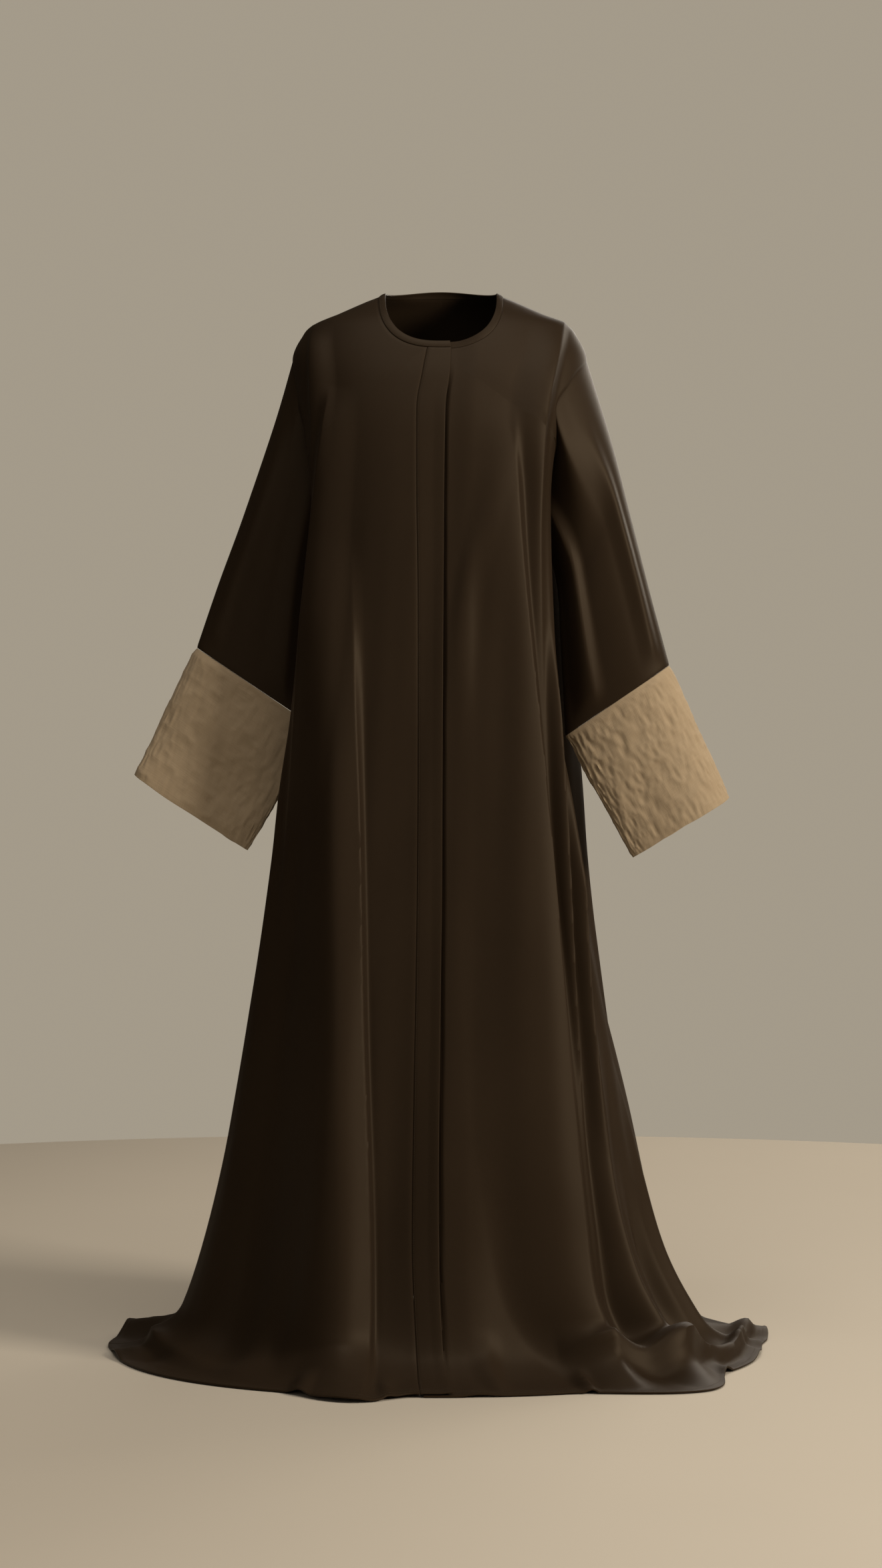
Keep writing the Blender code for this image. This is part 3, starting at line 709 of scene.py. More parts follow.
def mesh_object(name: str, points: np.ndarray, faces: np.ndarray) -> bpy.types.Object:
    """Put a smooth mesh in the scene.

    Args:
        name: The piece's name.
        points: The corners' places.
        faces: Four corner numbers for each face.

    Returns:
        The piece.
    """
    mesh = bpy.data.meshes.new(name)
    mesh.vertices.add(len(points))
    mesh.vertices.foreach_set("co", np.ascontiguousarray(points, np.float32).ravel())
    mesh.loops.add(faces.size)
    mesh.loops.foreach_set("vertex_index", faces.astype(np.int32).ravel())
    mesh.polygons.add(len(faces))
    mesh.polygons.foreach_set("loop_start", np.arange(0, faces.size, 4, dtype=np.int32))
    mesh.update(calc_edges=True)
    mesh.validate()
    mesh.shade_smooth()
    piece = bpy.data.objects.new(name, mesh)
    bpy.context.scene.collection.objects.link(piece)
    return piece


def turn_edges(piece: bpy.types.Object) -> None:
    """Round a wall's rims, as cloth rounds where it is turned.

    Args:
        piece: The wall.
    """
    soften = piece.modifiers.new("turned edge", "BEVEL")
    soften.width = TURNED_EDGE
    soften.segments = 2
    soften.limit_method = "ANGLE"
    soften.angle_limit = math.radians(TURNED_ANGLE)


def sew_wall(name: str, patches: Sequence[Patch]) -> bpy.types.Object:
    """Make one closed cloth wall, sewn where its patches' outer points meet.

    Args:
        name: The piece's name.
        patches: The stretches of cloth.

    Returns:
        The piece, with its places on the flat cut as its UV layer.
    """
    starts = np.cumsum([0] + [patch.outer[..., 0].size for patch in patches])
    quad = np.concatenate([patch.quads() + start for patch, start in zip(patches, starts)])
    outer = np.concatenate([patch.outer.reshape(-1, 3) for patch in patches])
    inner = np.concatenate([patch.inner.reshape(-1, 3) for patch in patches])
    cut = np.concatenate([patch.cut.reshape(-1, 2) for patch in patches])
    keys = np.round(outer * SEWN_STEPS).astype(np.int64)
    _, first, welded = np.unique(keys, axis=0, return_index=True, return_inverse=True)
    welded = welded.ravel()
    count = len(first)
    sides = np.concatenate([quad[:, [k, (k + 1) % 4]] for k in range(4)])
    ends = welded[sides]
    code = ends[:, 0] * count + ends[:, 1]
    back = ends[:, 1] * count + ends[:, 0]
    open_side = ~np.isin(code, back) & (ends[:, 0] != ends[:, 1])
    rim = sides[open_side]
    outer_faces = welded[quad]
    inner_faces = welded[quad[:, ::-1]] + count
    rim_faces = np.stack([welded[rim[:, 1]], welded[rim[:, 0]],
                          welded[rim[:, 0]] + count, welded[rim[:, 1]] + count], -1)
    faces = np.concatenate([outer_faces, inner_faces, rim_faces])
    piece = mesh_object(name, np.concatenate([outer[first], inner[first]]), faces)
    flat = np.concatenate([quad.ravel(), quad[:, ::-1].ravel(),
                           rim[:, [1, 0, 0, 1]].ravel()])
    if len(piece.data.loops) == len(flat):
        layer = piece.data.uv_layers.new(name="cut")
        layer.uv.foreach_set("vector", cut[flat].astype(np.float32).ravel())
    turn_edges(piece)
    return piece


def wall_patch(points: np.ndarray, closed: bool, depth: np.ndarray | float,
               wall: np.ndarray | float, outward: float) -> Patch:
    """A patch of cloth laid at a depth under a grid of points.

    Args:
        points: The grid, rows down the cloth and columns across it.
        closed: Whether the columns close into a tube.
        depth: How far under the grid the cloth's outer face lies.
        wall: The cloth's thickness.
        outward: 1 or -1, which turns the grid's own normals outwards.

    Returns:
        The patch, with its places on the flat cut in metres.
    """
    out = grid_normals(points, closed) * outward
    depth = np.broadcast_to(depth, points.shape[:2])[..., None]
    wall = np.broadcast_to(wall, points.shape[:2])[..., None]
    cut = np.stack([run_lengths(points, 1), run_lengths(points, 0)], -1)
    return Patch(points - out * depth, points - out * (depth + wall), cut)


@dataclass(frozen=True)
class SheetSize:
    """A piece's size before it was sewn: width, length and area."""

    width: float
    length: float
    area: float

    @classmethod
    def of(cls, patches: Sequence[Patch]) -> "SheetSize":
        """Measure patches that lie side by side.

        Args:
            patches: The stretches of cloth, each as wide as it is laid.

        Returns:
            Their size as one sheet.
        """
        area = 0.0
        for patch in patches:
            across = np.diff(patch.outer, axis=1)[:-1]
            down = np.diff(patch.outer, axis=0)[:, :-1]
            area += float(np.linalg.norm(np.cross(across, down), axis=-1).sum())
        width = sum(float(run_lengths(patch.outer, 1)[:, -1].max()) for patch in patches)
        length = max(float(run_lengths(patch.outer, 0)[-1].max()) for patch in patches)
        return cls(width, length, area)


@dataclass(frozen=True)
class StitchRow:
    """A row of machine stitches of one thread, each an arch that thins to its ends."""

    pitch: float = 0.0030
    length: float = 0.0023
    radius: float = 0.00022
    start: float = 0.75
    probe: float = 0.0004
    rise: float = 0.9
    fall: float = 4.2
    fullness: float = 1.06
    taper: float = 4.0
    thinnest: float = 0.05
    sides: int = 4
    rings: int = 4

    def lay(self, name: str, path: np.ndarray, out: np.ndarray) -> bpy.types.Object:
        """Lay stitches along a path on the cloth.

        Args:
            name: The piece's name.
            path: Points along the cloth's outer face.
            out: The outward normal at each point.

        Returns:
            One mesh of all the stitches.
        """
        run = run_lengths(path[None], 1)[0]
        count = int((run[-1] - self.pitch) / self.pitch)
        middles = self.pitch * (np.arange(count) + self.start)
        along = np.linspace(-0.5, 0.5, self.rings)
        places = middles[:, None] + along * self.length

        def read(values: np.ndarray, at: np.ndarray) -> np.ndarray:
            """Vectors at runs along the path."""
            return np.stack([np.interp(at, run, values[:, k]) for k in range(3)], -1)

        centre = read(path, places)
        normal = read(out, places)
        normal /= np.linalg.norm(normal, axis=-1, keepdims=True)
        heading = read(path, places + self.probe) - read(path, places - self.probe)
        heading /= np.maximum(np.linalg.norm(heading, axis=-1, keepdims=True), 1e-9)
        across = np.cross(heading, normal)
        arch = self.radius * (self.rise - self.fall * along**2)
        thin = np.clip(self.fullness - self.taper * along**2, self.thinnest, 1.0)
        thick = self.radius * np.sqrt(thin)
        centre = centre + normal * arch[None, :, None]
        around = np.linspace(0.0, 2.0 * math.pi, self.sides, endpoint=False)
        points = (centre[:, :, None] + thick[None, :, None, None]
                  * (across[:, :, None] * np.cos(around)[:, None]
                     + normal[:, :, None] * np.sin(around)[:, None]))
        ids = np.arange(count * self.rings * self.sides).reshape(count, self.rings, self.sides)
        after = np.roll(ids, -1, axis=2)
        tube = np.stack([ids[:, :-1], ids[:, 1:], after[:, 1:], after[:, :-1]], -1)
        caps = [ids[:, 0], ids[:, -1, ::-1]]
        faces = np.concatenate([tube.reshape(-1, 4)] + caps)
        return mesh_object(name, points.reshape(-1, 3), faces)


class NodeTree:
    """A short way to place and join shader nodes."""

    def __init__(self, tree: bpy.types.NodeTree) -> None:
        """Work on this tree."""
        self.tree = tree

    def add(self, kind: str, inputs: dict[str | int, object] | None = None,
            **settings: object) -> bpy.types.Node:
        """Add a node.

        Args:
            kind: The node's type.
            inputs: A socket to link or a value to set for each input.
            settings: The node's own properties.

        Returns:
            The node.
        """
        node = self.tree.nodes.new(kind)
        for key, value in settings.items():
            setattr(node, key, value)
        for key, value in (inputs or {}).items():
            if isinstance(value, bpy.types.NodeSocket):
                self.tree.links.new(value, node.inputs[key])
            else:
                node.inputs[key].default_value = value
        return node

    def math(self, operation: str, *values: object) -> bpy.types.NodeSocket:
        """A Math node's output."""
        return self.add("ShaderNodeMath", dict(enumerate(values)), operation=operation).outputs[0]


def new_group(name: str, inputs: dict[str, str], outputs: dict[str, str]
              ) -> tuple[bpy.types.NodeTree, NodeTree, bpy.types.Node, bpy.types.Node]:
    """Make a shader node group.

    Args:
        name: The group's name.
        inputs: The type of each named input.
        outputs: The type of each named output.

    Returns:
        The group, its nodes, and the nodes that hold its inputs and its outputs.
    """
    group = bpy.data.node_groups.new(name, "ShaderNodeTree")
    for direction, sockets in (("INPUT", inputs), ("OUTPUT", outputs)):
        for socket, kind in sockets.items():
            group.interface.new_socket(name=socket, in_out=direction, socket_type=kind)
    nodes = NodeTree(group)
    return group, nodes, nodes.add("NodeGroupInput"), nodes.add("NodeGroupOutput")


TWILL_SLANT = 0.5
THREAD_HEIGHT = 0.25
SLUB_STRETCHES = ((0.9, 0.06, 1.0), (0.05, 0.8, 1.0))


def weave_group() -> bpy.types.NodeTree:
    """Threads of a cloth: their height, and a tone that varies from thread to thread."""
    group, nodes, source, result = new_group(
        "Weave",
        {"Cut": "NodeSocketVector", "Threads": "NodeSocketFloat", "Twill": "NodeSocketFloat",
         "Slub": "NodeSocketFloat"},
        {"Height": "NodeSocketFloat", "Tone": "NodeSocketFloat"})
    spun = nodes.add("ShaderNodeVectorMath", {0: source.outputs["Cut"],
                                              "Scale": source.outputs["Threads"]},
                     operation="SCALE").outputs[0]
    parts = nodes.add("ShaderNodeSeparateXYZ", {0: spun})
    warp = nodes.math("SINE", nodes.math("MULTIPLY", parts.outputs[0], math.tau))
    weft = nodes.math("SINE", nodes.math("MULTIPLY", parts.outputs[1], math.tau))
    plain = nodes.math("MULTIPLY", warp, weft)
    across = nodes.math("MULTIPLY", parts.outputs[1], TWILL_SLANT)
    slant = nodes.math("ADD", parts.outputs[0], across)
    twill = nodes.math("SINE", nodes.math("MULTIPLY", slant, math.tau))
    mixed = nodes.add("ShaderNodeMix", {0: source.outputs["Twill"], 2: plain, 3: twill},
                      data_type="FLOAT").outputs[0]
    slubs = []
    for stretch in SLUB_STRETCHES:
        drawn = nodes.add("ShaderNodeVectorMath", {0: spun, 1: stretch}, operation="MULTIPLY")
        slubs.append(nodes.add("ShaderNodeTexNoise", {"Vector": drawn.outputs[0], "Scale": 1.0,
                                                      "Detail": 2.0}).outputs[0])
    slub = nodes.math("ADD", *slubs)
    uneven = nodes.math("MULTIPLY", nodes.math("SUBTRACT", slub, 1.0), source.outputs["Slub"])
    height = nodes.math("ADD", nodes.math("MULTIPLY", mixed, THREAD_HEIGHT), uneven)
    nodes.tree.links.new(height, result.inputs["Height"])
    nodes.tree.links.new(slub, result.inputs["Tone"])
    return group


def patina_group() -> bpy.types.NodeTree:
    """Slow changes of tone over a whole panel, from -1 to 1."""
    group, nodes, source, result = new_group(
        "Panel tone", {"Cut": "NodeSocketVector", "Patches": "NodeSocketFloat"},
        {"Tone": "NodeSocketFloat"})
    noise = nodes.add("ShaderNodeTexNoise", {"Vector": source.outputs["Cut"],
                                             "Scale": source.outputs["Patches"],
                                             "Detail": 3.0, "Roughness": 0.55}).outputs[0]
    tone = nodes.math("MULTIPLY", nodes.math("SUBTRACT", noise, 0.5), 2.0)
    nodes.tree.links.new(tone, result.inputs["Tone"])
    return group


@dataclass(frozen=True)
class ClothFinish:
    """How a cloth or thread looks."""

    name: str
    slot: str
    color: Color
    light_color: Color
    roughness: float
    sheen: float
    sheen_tint: Color
    threads: float
    twill: float
    slub: float
    bump: float
    patches: float
    turned: float = 0.0
    gloss: float = 0.15
    gloss_tint: Color = (1.0, 0.80, 0.56)
    thread_tone: float = 0.42
    panel_tone: float = 0.45
    roughness_tone: float = 0.05
    sheen_roughness: float = 0.45

    def material(self) -> bpy.types.Material:
        """Build the material, or find it if it is built."""
        known = bpy.data.materials.get(self.name)
        if known is not None:
            return known
        made = bpy.data.materials.new(self.name)
        made.use_nodes = True
        nodes = NodeTree(made.node_tree)
        shader = made.node_tree.nodes["Principled BSDF"]
        cut = nodes.add("ShaderNodeUVMap", uv_map="cut").outputs[0]
        laid = nodes.add("ShaderNodeMapping", {"Vector": cut, "Rotation": (0, 0, self.turned)})
        weave = nodes.add("ShaderNodeGroup", node_tree=find_group("Weave", weave_group))
        tone = nodes.add("ShaderNodeGroup", node_tree=find_group("Panel tone", patina_group))
        nodes.tree.links.new(laid.outputs[0], weave.inputs["Cut"])
        nodes.tree.links.new(cut, tone.inputs["Cut"])
        for socket, value in (("Threads", self.threads), ("Twill", self.twill),
                              ("Slub", self.slub)):
            weave.inputs[socket].default_value = value
        tone.inputs["Patches"].default_value = self.patches
        share = nodes.math("ADD",
                           nodes.math("MULTIPLY", weave.outputs["Tone"], self.thread_tone),
                           nodes.math("MULTIPLY", tone.outputs["Tone"], self.panel_tone))
        color = nodes.add("ShaderNodeMix", {0: share, 6: (*self.color, 1.0),
                                            7: (*self.light_color, 1.0)},
                          data_type="RGBA", clamp_factor=True).outputs[2]
        uneven = nodes.math("MULTIPLY", tone.outputs["Tone"], self.roughness_tone)
        rough = nodes.math("ADD", uneven, self.roughness)
        raised = nodes.add("ShaderNodeBump", {"Height": weave.outputs["Height"],
                                              "Strength": 1.0, "Distance": self.bump})
        nodes.tree.links.new(color, shader.inputs["Base Color"])
        nodes.tree.links.new(rough, shader.inputs["Roughness"])
        nodes.tree.links.new(raised.outputs[0], shader.inputs["Normal"])
        for socket, value in (("Sheen Weight", self.sheen),
                              ("Sheen Roughness", self.sheen_roughness),
                              ("Sheen Tint", (*self.sheen_tint, 1.0)),
                              ("Specular IOR Level", self.gloss),
                              ("Specular Tint", (*self.gloss_tint, 1.0))):
            shader.inputs[socket].default_value = value
        return made


def find_group(name: str, build: Callable[[], bpy.types.NodeTree]) -> bpy.types.NodeTree:
    """The node group of that name, built the first time."""
    return bpy.data.node_groups.get(name) or build()


CREPE = ClothFinish(
    name="Dark crepe", slot="crepe", color=(0.0165, 0.0098, 0.0052),
    light_color=(0.0230, 0.0140, 0.0076), roughness=0.52, sheen=0.02,
    sheen_tint=(0.80, 0.60, 0.42), threads=1100.0, twill=0.8, slub=0.35, bump=0.00010,
    patches=5.0)
CREPE_BIAS = replace(
    CREPE, name="Dark crepe cut on the bias", color=(0.0170, 0.0102, 0.0055),
    light_color=(0.0236, 0.0145, 0.0080), patches=9.0, turned=math.pi / 4.0)
CREPE_THREAD = ClothFinish(
    name="Crepe sewing thread", slot="crepe", color=(0.030, 0.020, 0.012),
    light_color=(0.042, 0.030, 0.018), roughness=0.45, sheen=0.2, sheen_tint=(0.6, 0.5, 0.4),
    threads=4000.0, twill=0.0, slub=0.2, bump=0.00003, patches=60.0)
LINEN = ClothFinish(
    name="Crinkled linen", slot="linen", color=(0.300, 0.222, 0.138),
    light_color=(0.400, 0.305, 0.198), roughness=0.82, sheen=0.10,
    sheen_tint=(0.95, 0.86, 0.74), threads=750.0, twill=0.0, slub=1.0, bump=0.00022,
    patches=22.0)


@dataclass
class SewnPiece:
    """A finished piece of the abaya, with the CAD node that it stands for."""

    node: str
    patches: list[Patch]
    finish: ClothFinish = CREPE
    held: str = "hung"
    rests_on: tuple[str, ...] = ()
    stitches: list[bpy.types.Object] = field(default_factory=list)

    def make(self) -> bpy.types.Object:
        """Sew the wall, dress it, and tie it and its stitches to the frame."""
        piece = sew_wall(self.node + "_cloth", self.patches)
        piece.data.materials.append(self.finish.material())
        for stitch in self.stitches:
            stitch.data.materials.append(CREPE_THREAD.material())
            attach(stitch, BODY)
        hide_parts(self.node)
        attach(piece, BODY)
        size = SheetSize.of(self.patches)
        LOG.info("%s: %d faces, %.3f x %.3f m flat, %.4f square metres, %d stitch rows",
                 piece.name, len(piece.data.polygons), size.width, size.length, size.area,
                 len(self.stitches))
        return piece


@dataclass
class BodyPanel:
    """A panel cut from the body's surface, from a centre line to the wearer's side.

    A station is 0 to 1 from the shoulder down the armhole, and 1 to 2 on down to the hem.
    The last turn is where the neckline meets the centre line.
    """

    side: Side
    behind: bool
    last_turn: float
    line: Line
    columns: int = 160
    neck_rows: int = 56
    skirt_rows: int = 200
    crowding: float = 0.95
    stitch_rise: float = 0.0015

    def stations(self) -> np.ndarray:
        """The panel's rows."""
        return np.concatenate([np.linspace(0.0, 1.0, self.neck_rows + 1),
                               1.0 + np.linspace(0.0, 1.0, self.skirt_rows + 1)[1:]
                               ** self.crowding])

    def side_edge(self, station: np.ndarray) -> Places:
        """The edge down the armhole and the side seam.

        Args:
            station: The panel's rows.

        Returns:
            Angles and drops.
        """
        seams, side = SEAMS, self.side.value
        arm = 0.5 * (1.0 - np.cos(np.pi * np.clip(station, 0.0, 1.0)))
        drop = seams.armhole_top + (seams.underarm - seams.armhole_top) * arm
        drop = drop + (seams.hem - seams.underarm) * np.clip(station - 1.0, 0.0, 1.0)
        gap = SURFACE.gap_angle(drop, self.behind) if self.behind else np.zeros_like(drop)
        arm_angle = SURFACE.armhole_angle(self.side, self.behind, drop) + side * gap
        return np.where(station > 1.0, side * (seams.side_angle + gap), arm_angle), drop

    def centre_edge(self, station: np.ndarray) -> Places:
        """The edge round the neck and down the centre line.

        Args:
            station: The panel's rows.

        Returns:
            Angles and drops.
        """
        side = self.side.value
        turn = side * 90.0 + (self.last_turn - side * 90.0) * np.clip(station, 0.0, 1.0)
        angle, drop = SURFACE.neckline(turn, SEAMS.binding_width + SEAMS.gap)
        low = drop + (SEAMS.hem - drop) * np.clip(station - 1.0, 0.0, 1.0)
        return np.where(station > 1.0, self.line(low), angle), low

    def places(self) -> Places:
        """The panel's grid of angles and drops."""
        station = self.stations()
        inner, outer = self.centre_edge(station), self.side_edge(station)
        share = np.linspace(0.0, 1.0, self.columns + 1)
        return tuple(start[:, None] + (end - start)[:, None] * share
                     for start, end in zip(inner, outer))

    def patch(self, depth_at: Callable[[np.ndarray, np.ndarray], np.ndarray] | None = None,
              centre_groove: bool = False) -> Patch:
        """The panel's cloth, with its edges turned down into the seams.

        Args:
            depth_at: How deep the cloth lies under the surface at angles and drops.
            centre_groove: Whether the centre edge turns down into a seam too.

        Returns:
            The patch.
        """
        angle, drop = self.places()
        points = SURFACE.point(angle, drop)
        across = run_lengths(points, 1)
        depth = np.maximum(SEAMS.turned_down(across[:, -1:] - across),
                           SEAMS.turned_down(run_lengths(points, 0)))
        if centre_groove:
            depth = np.maximum(depth, SEAMS.turned_down(across))
        if depth_at is not None:
            depth = depth + depth_at(angle, drop)
        wall = np.where(drop > SEAMS.hem - SEAMS.hem_turn, SEAMS.double_cloth, SEAMS.cloth)
        return wall_patch(points, False, depth, wall, self.outward())

    def outward(self) -> float:
        """The sign that turns a grid's own normals outwards on this panel."""
        return 1.0 if (self.side is Side.LEFT) != self.behind else -1.0

    def hem_stitches(self, name: str) -> bpy.types.Object:
        """The row of stitches that holds the turned hem.

        Args:
            name: The row's name.

        Returns:
            One mesh of all the stitches.
        """
        line = self.places()[0][-1]
        at = np.full_like(line, SEAMS.hem - SEAMS.hem_turn + self.stitch_rise)
        return StitchRow().lay(name, SURFACE.point(line, at), SURFACE.normal(line, at))


@dataclass
class Fronts:
    """The two fronts and the placket band; the left front runs on under the band."""

    underlap_inset: float = 0.004
    under: float = 0.0038
    under_full: float = 0.004
    under_end: float = 0.040
    lip: float = 0.0014
    slot: float = 0.0032
    slot_width: float = 0.0045
    slot_flat: float = 0.3
    slot_top: tuple[float, float] = (0.10, 0.16)
    slot_end: tuple[float, float] = (1.40, 1.50)
    lip_top: tuple[float, float] = (0.12, 0.20)
    lip_share: float = 0.55
    band_rows: int = 420
    band_columns: int = 22
    stitch_inset: float = 0.0022

    def neck_edge_drop(self) -> float:
        """The drop at which the placket's lines start."""
        return SEAMS.front_neck_drop + SEAMS.binding_width

    def under_depth(self, angle: np.ndarray, drop: np.ndarray) -> np.ndarray:
        """How deep the left front lies, because the placket band laps over it.

        Args:
            angle: Degrees round the body.
            drop: Metres down the cloth.

        Returns:
            Metres under the body's surface.
        """
        past = SURFACE.ring(angle, drop)[..., 0] - SURFACE.placket.read(drop)[1]
        slot = self.slot * (1.0 - ease(self.slot_flat, 1.0, np.abs(past) / self.slot_width))
        slot *= ease(*self.slot_top, drop) * (1.0 - ease(*self.slot_end, drop))
        return self.under * (1.0 - ease(self.under_full, self.under_end, past)) + slot

    def panel(self, side: Side, shift: float) -> BodyPanel:
        """One front's panel.

        Args:
            side: The wearer's side.
            shift: Metres from the placket's seam to the panel's inner edge.

        Returns:
            The panel.
        """
        start = float(SURFACE.placket.read(self.neck_edge_drop())[0]) + shift
        return BodyPanel(side, False, SURFACE.neck_turn_at(start),
                         SURFACE.placket_angle(0.0, shift))

    def band_place(self, share: float) -> Places:
        """A line down the band.

        Args:
            share: 0 at its seam and 1 at its free edge.

        Returns:
            Angles and drops.
        """
        seam, edge = (float(x) for x in SURFACE.placket.read(self.neck_edge_drop()))
        turn = SURFACE.neck_turn_at(seam + (edge - seam) * share)
        top = float(SURFACE.neckline(turn, SEAMS.binding_width + SEAMS.gap)[1])
        drop = np.linspace(top, SEAMS.hem, self.band_rows + 1)
        return SURFACE.placket_angle(share)(drop), drop

    def band(self) -> SewnPiece:
        """The folded band down the right front's edge, with its row of stitches."""
        columns = [self.band_place(share)
                   for share in np.linspace(0.0, 1.0, self.band_columns + 1)]
        angle = np.stack([column[0] for column in columns], 1)
        drop = np.stack([column[1] for column in columns], 1)
        points = SURFACE.point(angle, drop)
        across = run_lengths(points, 1)
        open_edge = ease(self.lip_share, 1.0, across / across[:, -1:])
        lift = self.lip * open_edge * ease(*self.lip_top, drop)
        depth = SEAMS.turned_down(across) - lift
        patch = wall_patch(points, False, depth, SEAMS.double_cloth, 1.0)
        share = self.stitch_inset / float(across[self.band_rows // 2, -1])
        line, at = self.band_place(share)
        row = StitchRow().lay("placket_stitches", SURFACE.point(line, at),
                              SURFACE.normal(line, at))
        return SewnPiece("placket_band", [patch], rests_on=("front_right_cloth",),
                         stitches=[row])

    def make(self) -> None:
        """Make the right front, the left front and the band."""
        right, left = self.panel(Side.RIGHT, -SEAMS.gap), self.panel(Side.LEFT, self.underlap_inset)
        SewnPiece("front_right", [right.patch(centre_groove=True)],
                  stitches=[right.hem_stitches("front_right_hem_stitches")]).make()
        SewnPiece("front_left", [left.patch(self.under_depth)],
                  stitches=[left.hem_stitches("front_left_hem_stitches")]).make()
        self.band().make()


@dataclass
class Back:
    """The back, in one piece: two halves that share the centre line."""

    columns: int = 80

    def make(self) -> None:
        """Make the back and its hem stitches."""
        patches, rows = [], []
        for side in Side:
            panel = BodyPanel(side, True, side.value * 180.0,
                              lambda drop, side=side: np.full_like(drop, side.value * 180.0),
                              columns=self.columns)
            patches.append(panel.patch())
            rows.append(panel.hem_stitches(f"back_{side.name.lower()}_hem_stitches"))
        SewnPiece("back", patches, stitches=rows).make()


@dataclass
class NeckBinding:
    """The narrow bias strip round the neck, folded over the cloth's edge."""

    fronts: Fronts
    proud: float = 0.0004
    crown: float = 0.0005
    rows: int = 10
    step: float = 0.75
    least_steps: int = 4
    stitch_inset: float = 0.0017
    stitch_start: float = 24.0

    def turns(self) -> Places:
        """The strip's columns, and which of them lie under the placket."""
        seam_x, edge_x = (float(x) for x in
                          SURFACE.placket.read(self.fronts.neck_edge_drop()))
        seam, edge = SURFACE.neck_turn_at(seam_x), SURFACE.neck_turn_at(edge_x)
        tuck = SURFACE.neck_turn_at(seam_x + self.fronts.underlap_inset)
        runs = ((edge, seam), (seam, -90.0), (-90.0, -180.0), (180.0, 90.0), (90.0, tuck))
        turns, lapped = [np.array([edge])], [np.array([False])]
        for number, (start, end) in enumerate(runs):
            count = max(int(abs(end - start) / self.step), self.least_steps)
            stretch = np.linspace(start, end, count + 1)[1:]
            turns.append(stretch)
            lapped.append(np.full(count, number == len(runs) - 1))
        return np.concatenate(turns), np.concatenate(lapped)

    def make(self) -> None:
        """Make the strip and its row of stitches."""
        turns, lapped = self.turns()
        points, depths = [], []
        for share in np.linspace(0.0, 1.0, self.rows + 1):
            angle, drop = SURFACE.neckline(turns, SEAMS.binding_width * share)
            under = np.where(lapped, self.fronts.under_depth(angle, drop), 0.0)
            depths.append(under - self.proud - self.crown * math.sin(math.pi * share))
            points.append(SURFACE.point(angle, drop))
        patch = wall_patch(np.array(points), False, np.array(depths), SEAMS.double_cloth, -1.0)
        shown = turns[~lapped | (turns > self.stitch_start)]
        angle, drop = SURFACE.neckline(shown, SEAMS.binding_width - self.stitch_inset)
        out = SURFACE.normal(angle, drop)
        path = SURFACE.point(angle, drop) + out * (self.proud + self.crown * 0.5)
        row = StitchRow(pitch=0.0026, length=0.0020).lay("neck_binding_stitches", path, out)
        SewnPiece("neck_binding", [patch], CREPE_BIAS, "folded", ("back_cloth",), [row]).make()


@dataclass(frozen=True)
class Crinkle:
    """Creases pressed into a tube of cloth, mostly along it."""

    around: int
    along: int
    height: float
    seed: int
    skew: float = 0.0
    ridged: bool = True
    ridge: float = 2.4

    def reach(self, turn: np.ndarray, share: np.ndarray) -> np.ndarray:
        """How far the creases move the cloth.

        Args:
            turn: Degrees round the tube.
            share: 0 to 1 down it.

        Returns:
            Metres out of the tube, about the height either way.
        """
        lattice = np.random.default_rng(self.seed).uniform(-1.0, 1.0,
                                                           (self.around, self.along + 2))
        u = turn / 360.0 * self.around + self.skew * share
        v = np.clip(share, 0.0, 1.0) * self.along
        left, top = np.floor(u).astype(int), np.floor(v).astype(int)
        fu, fv = ease(0.0, 1.0, u - left), ease(0.0, 1.0, v - top)
        right, left = (left + 1) % self.around, left % self.around
        value = ((lattice[left, top] * (1 - fu) + lattice[right, top] * fu) * (1 - fv)
                 + (lattice[left, top + 1] * (1 - fu) + lattice[right, top + 1] * fu) * fv)
        if self.ridged:
            value = 1.0 - self.ridge * np.abs(value)
        return value * self.height


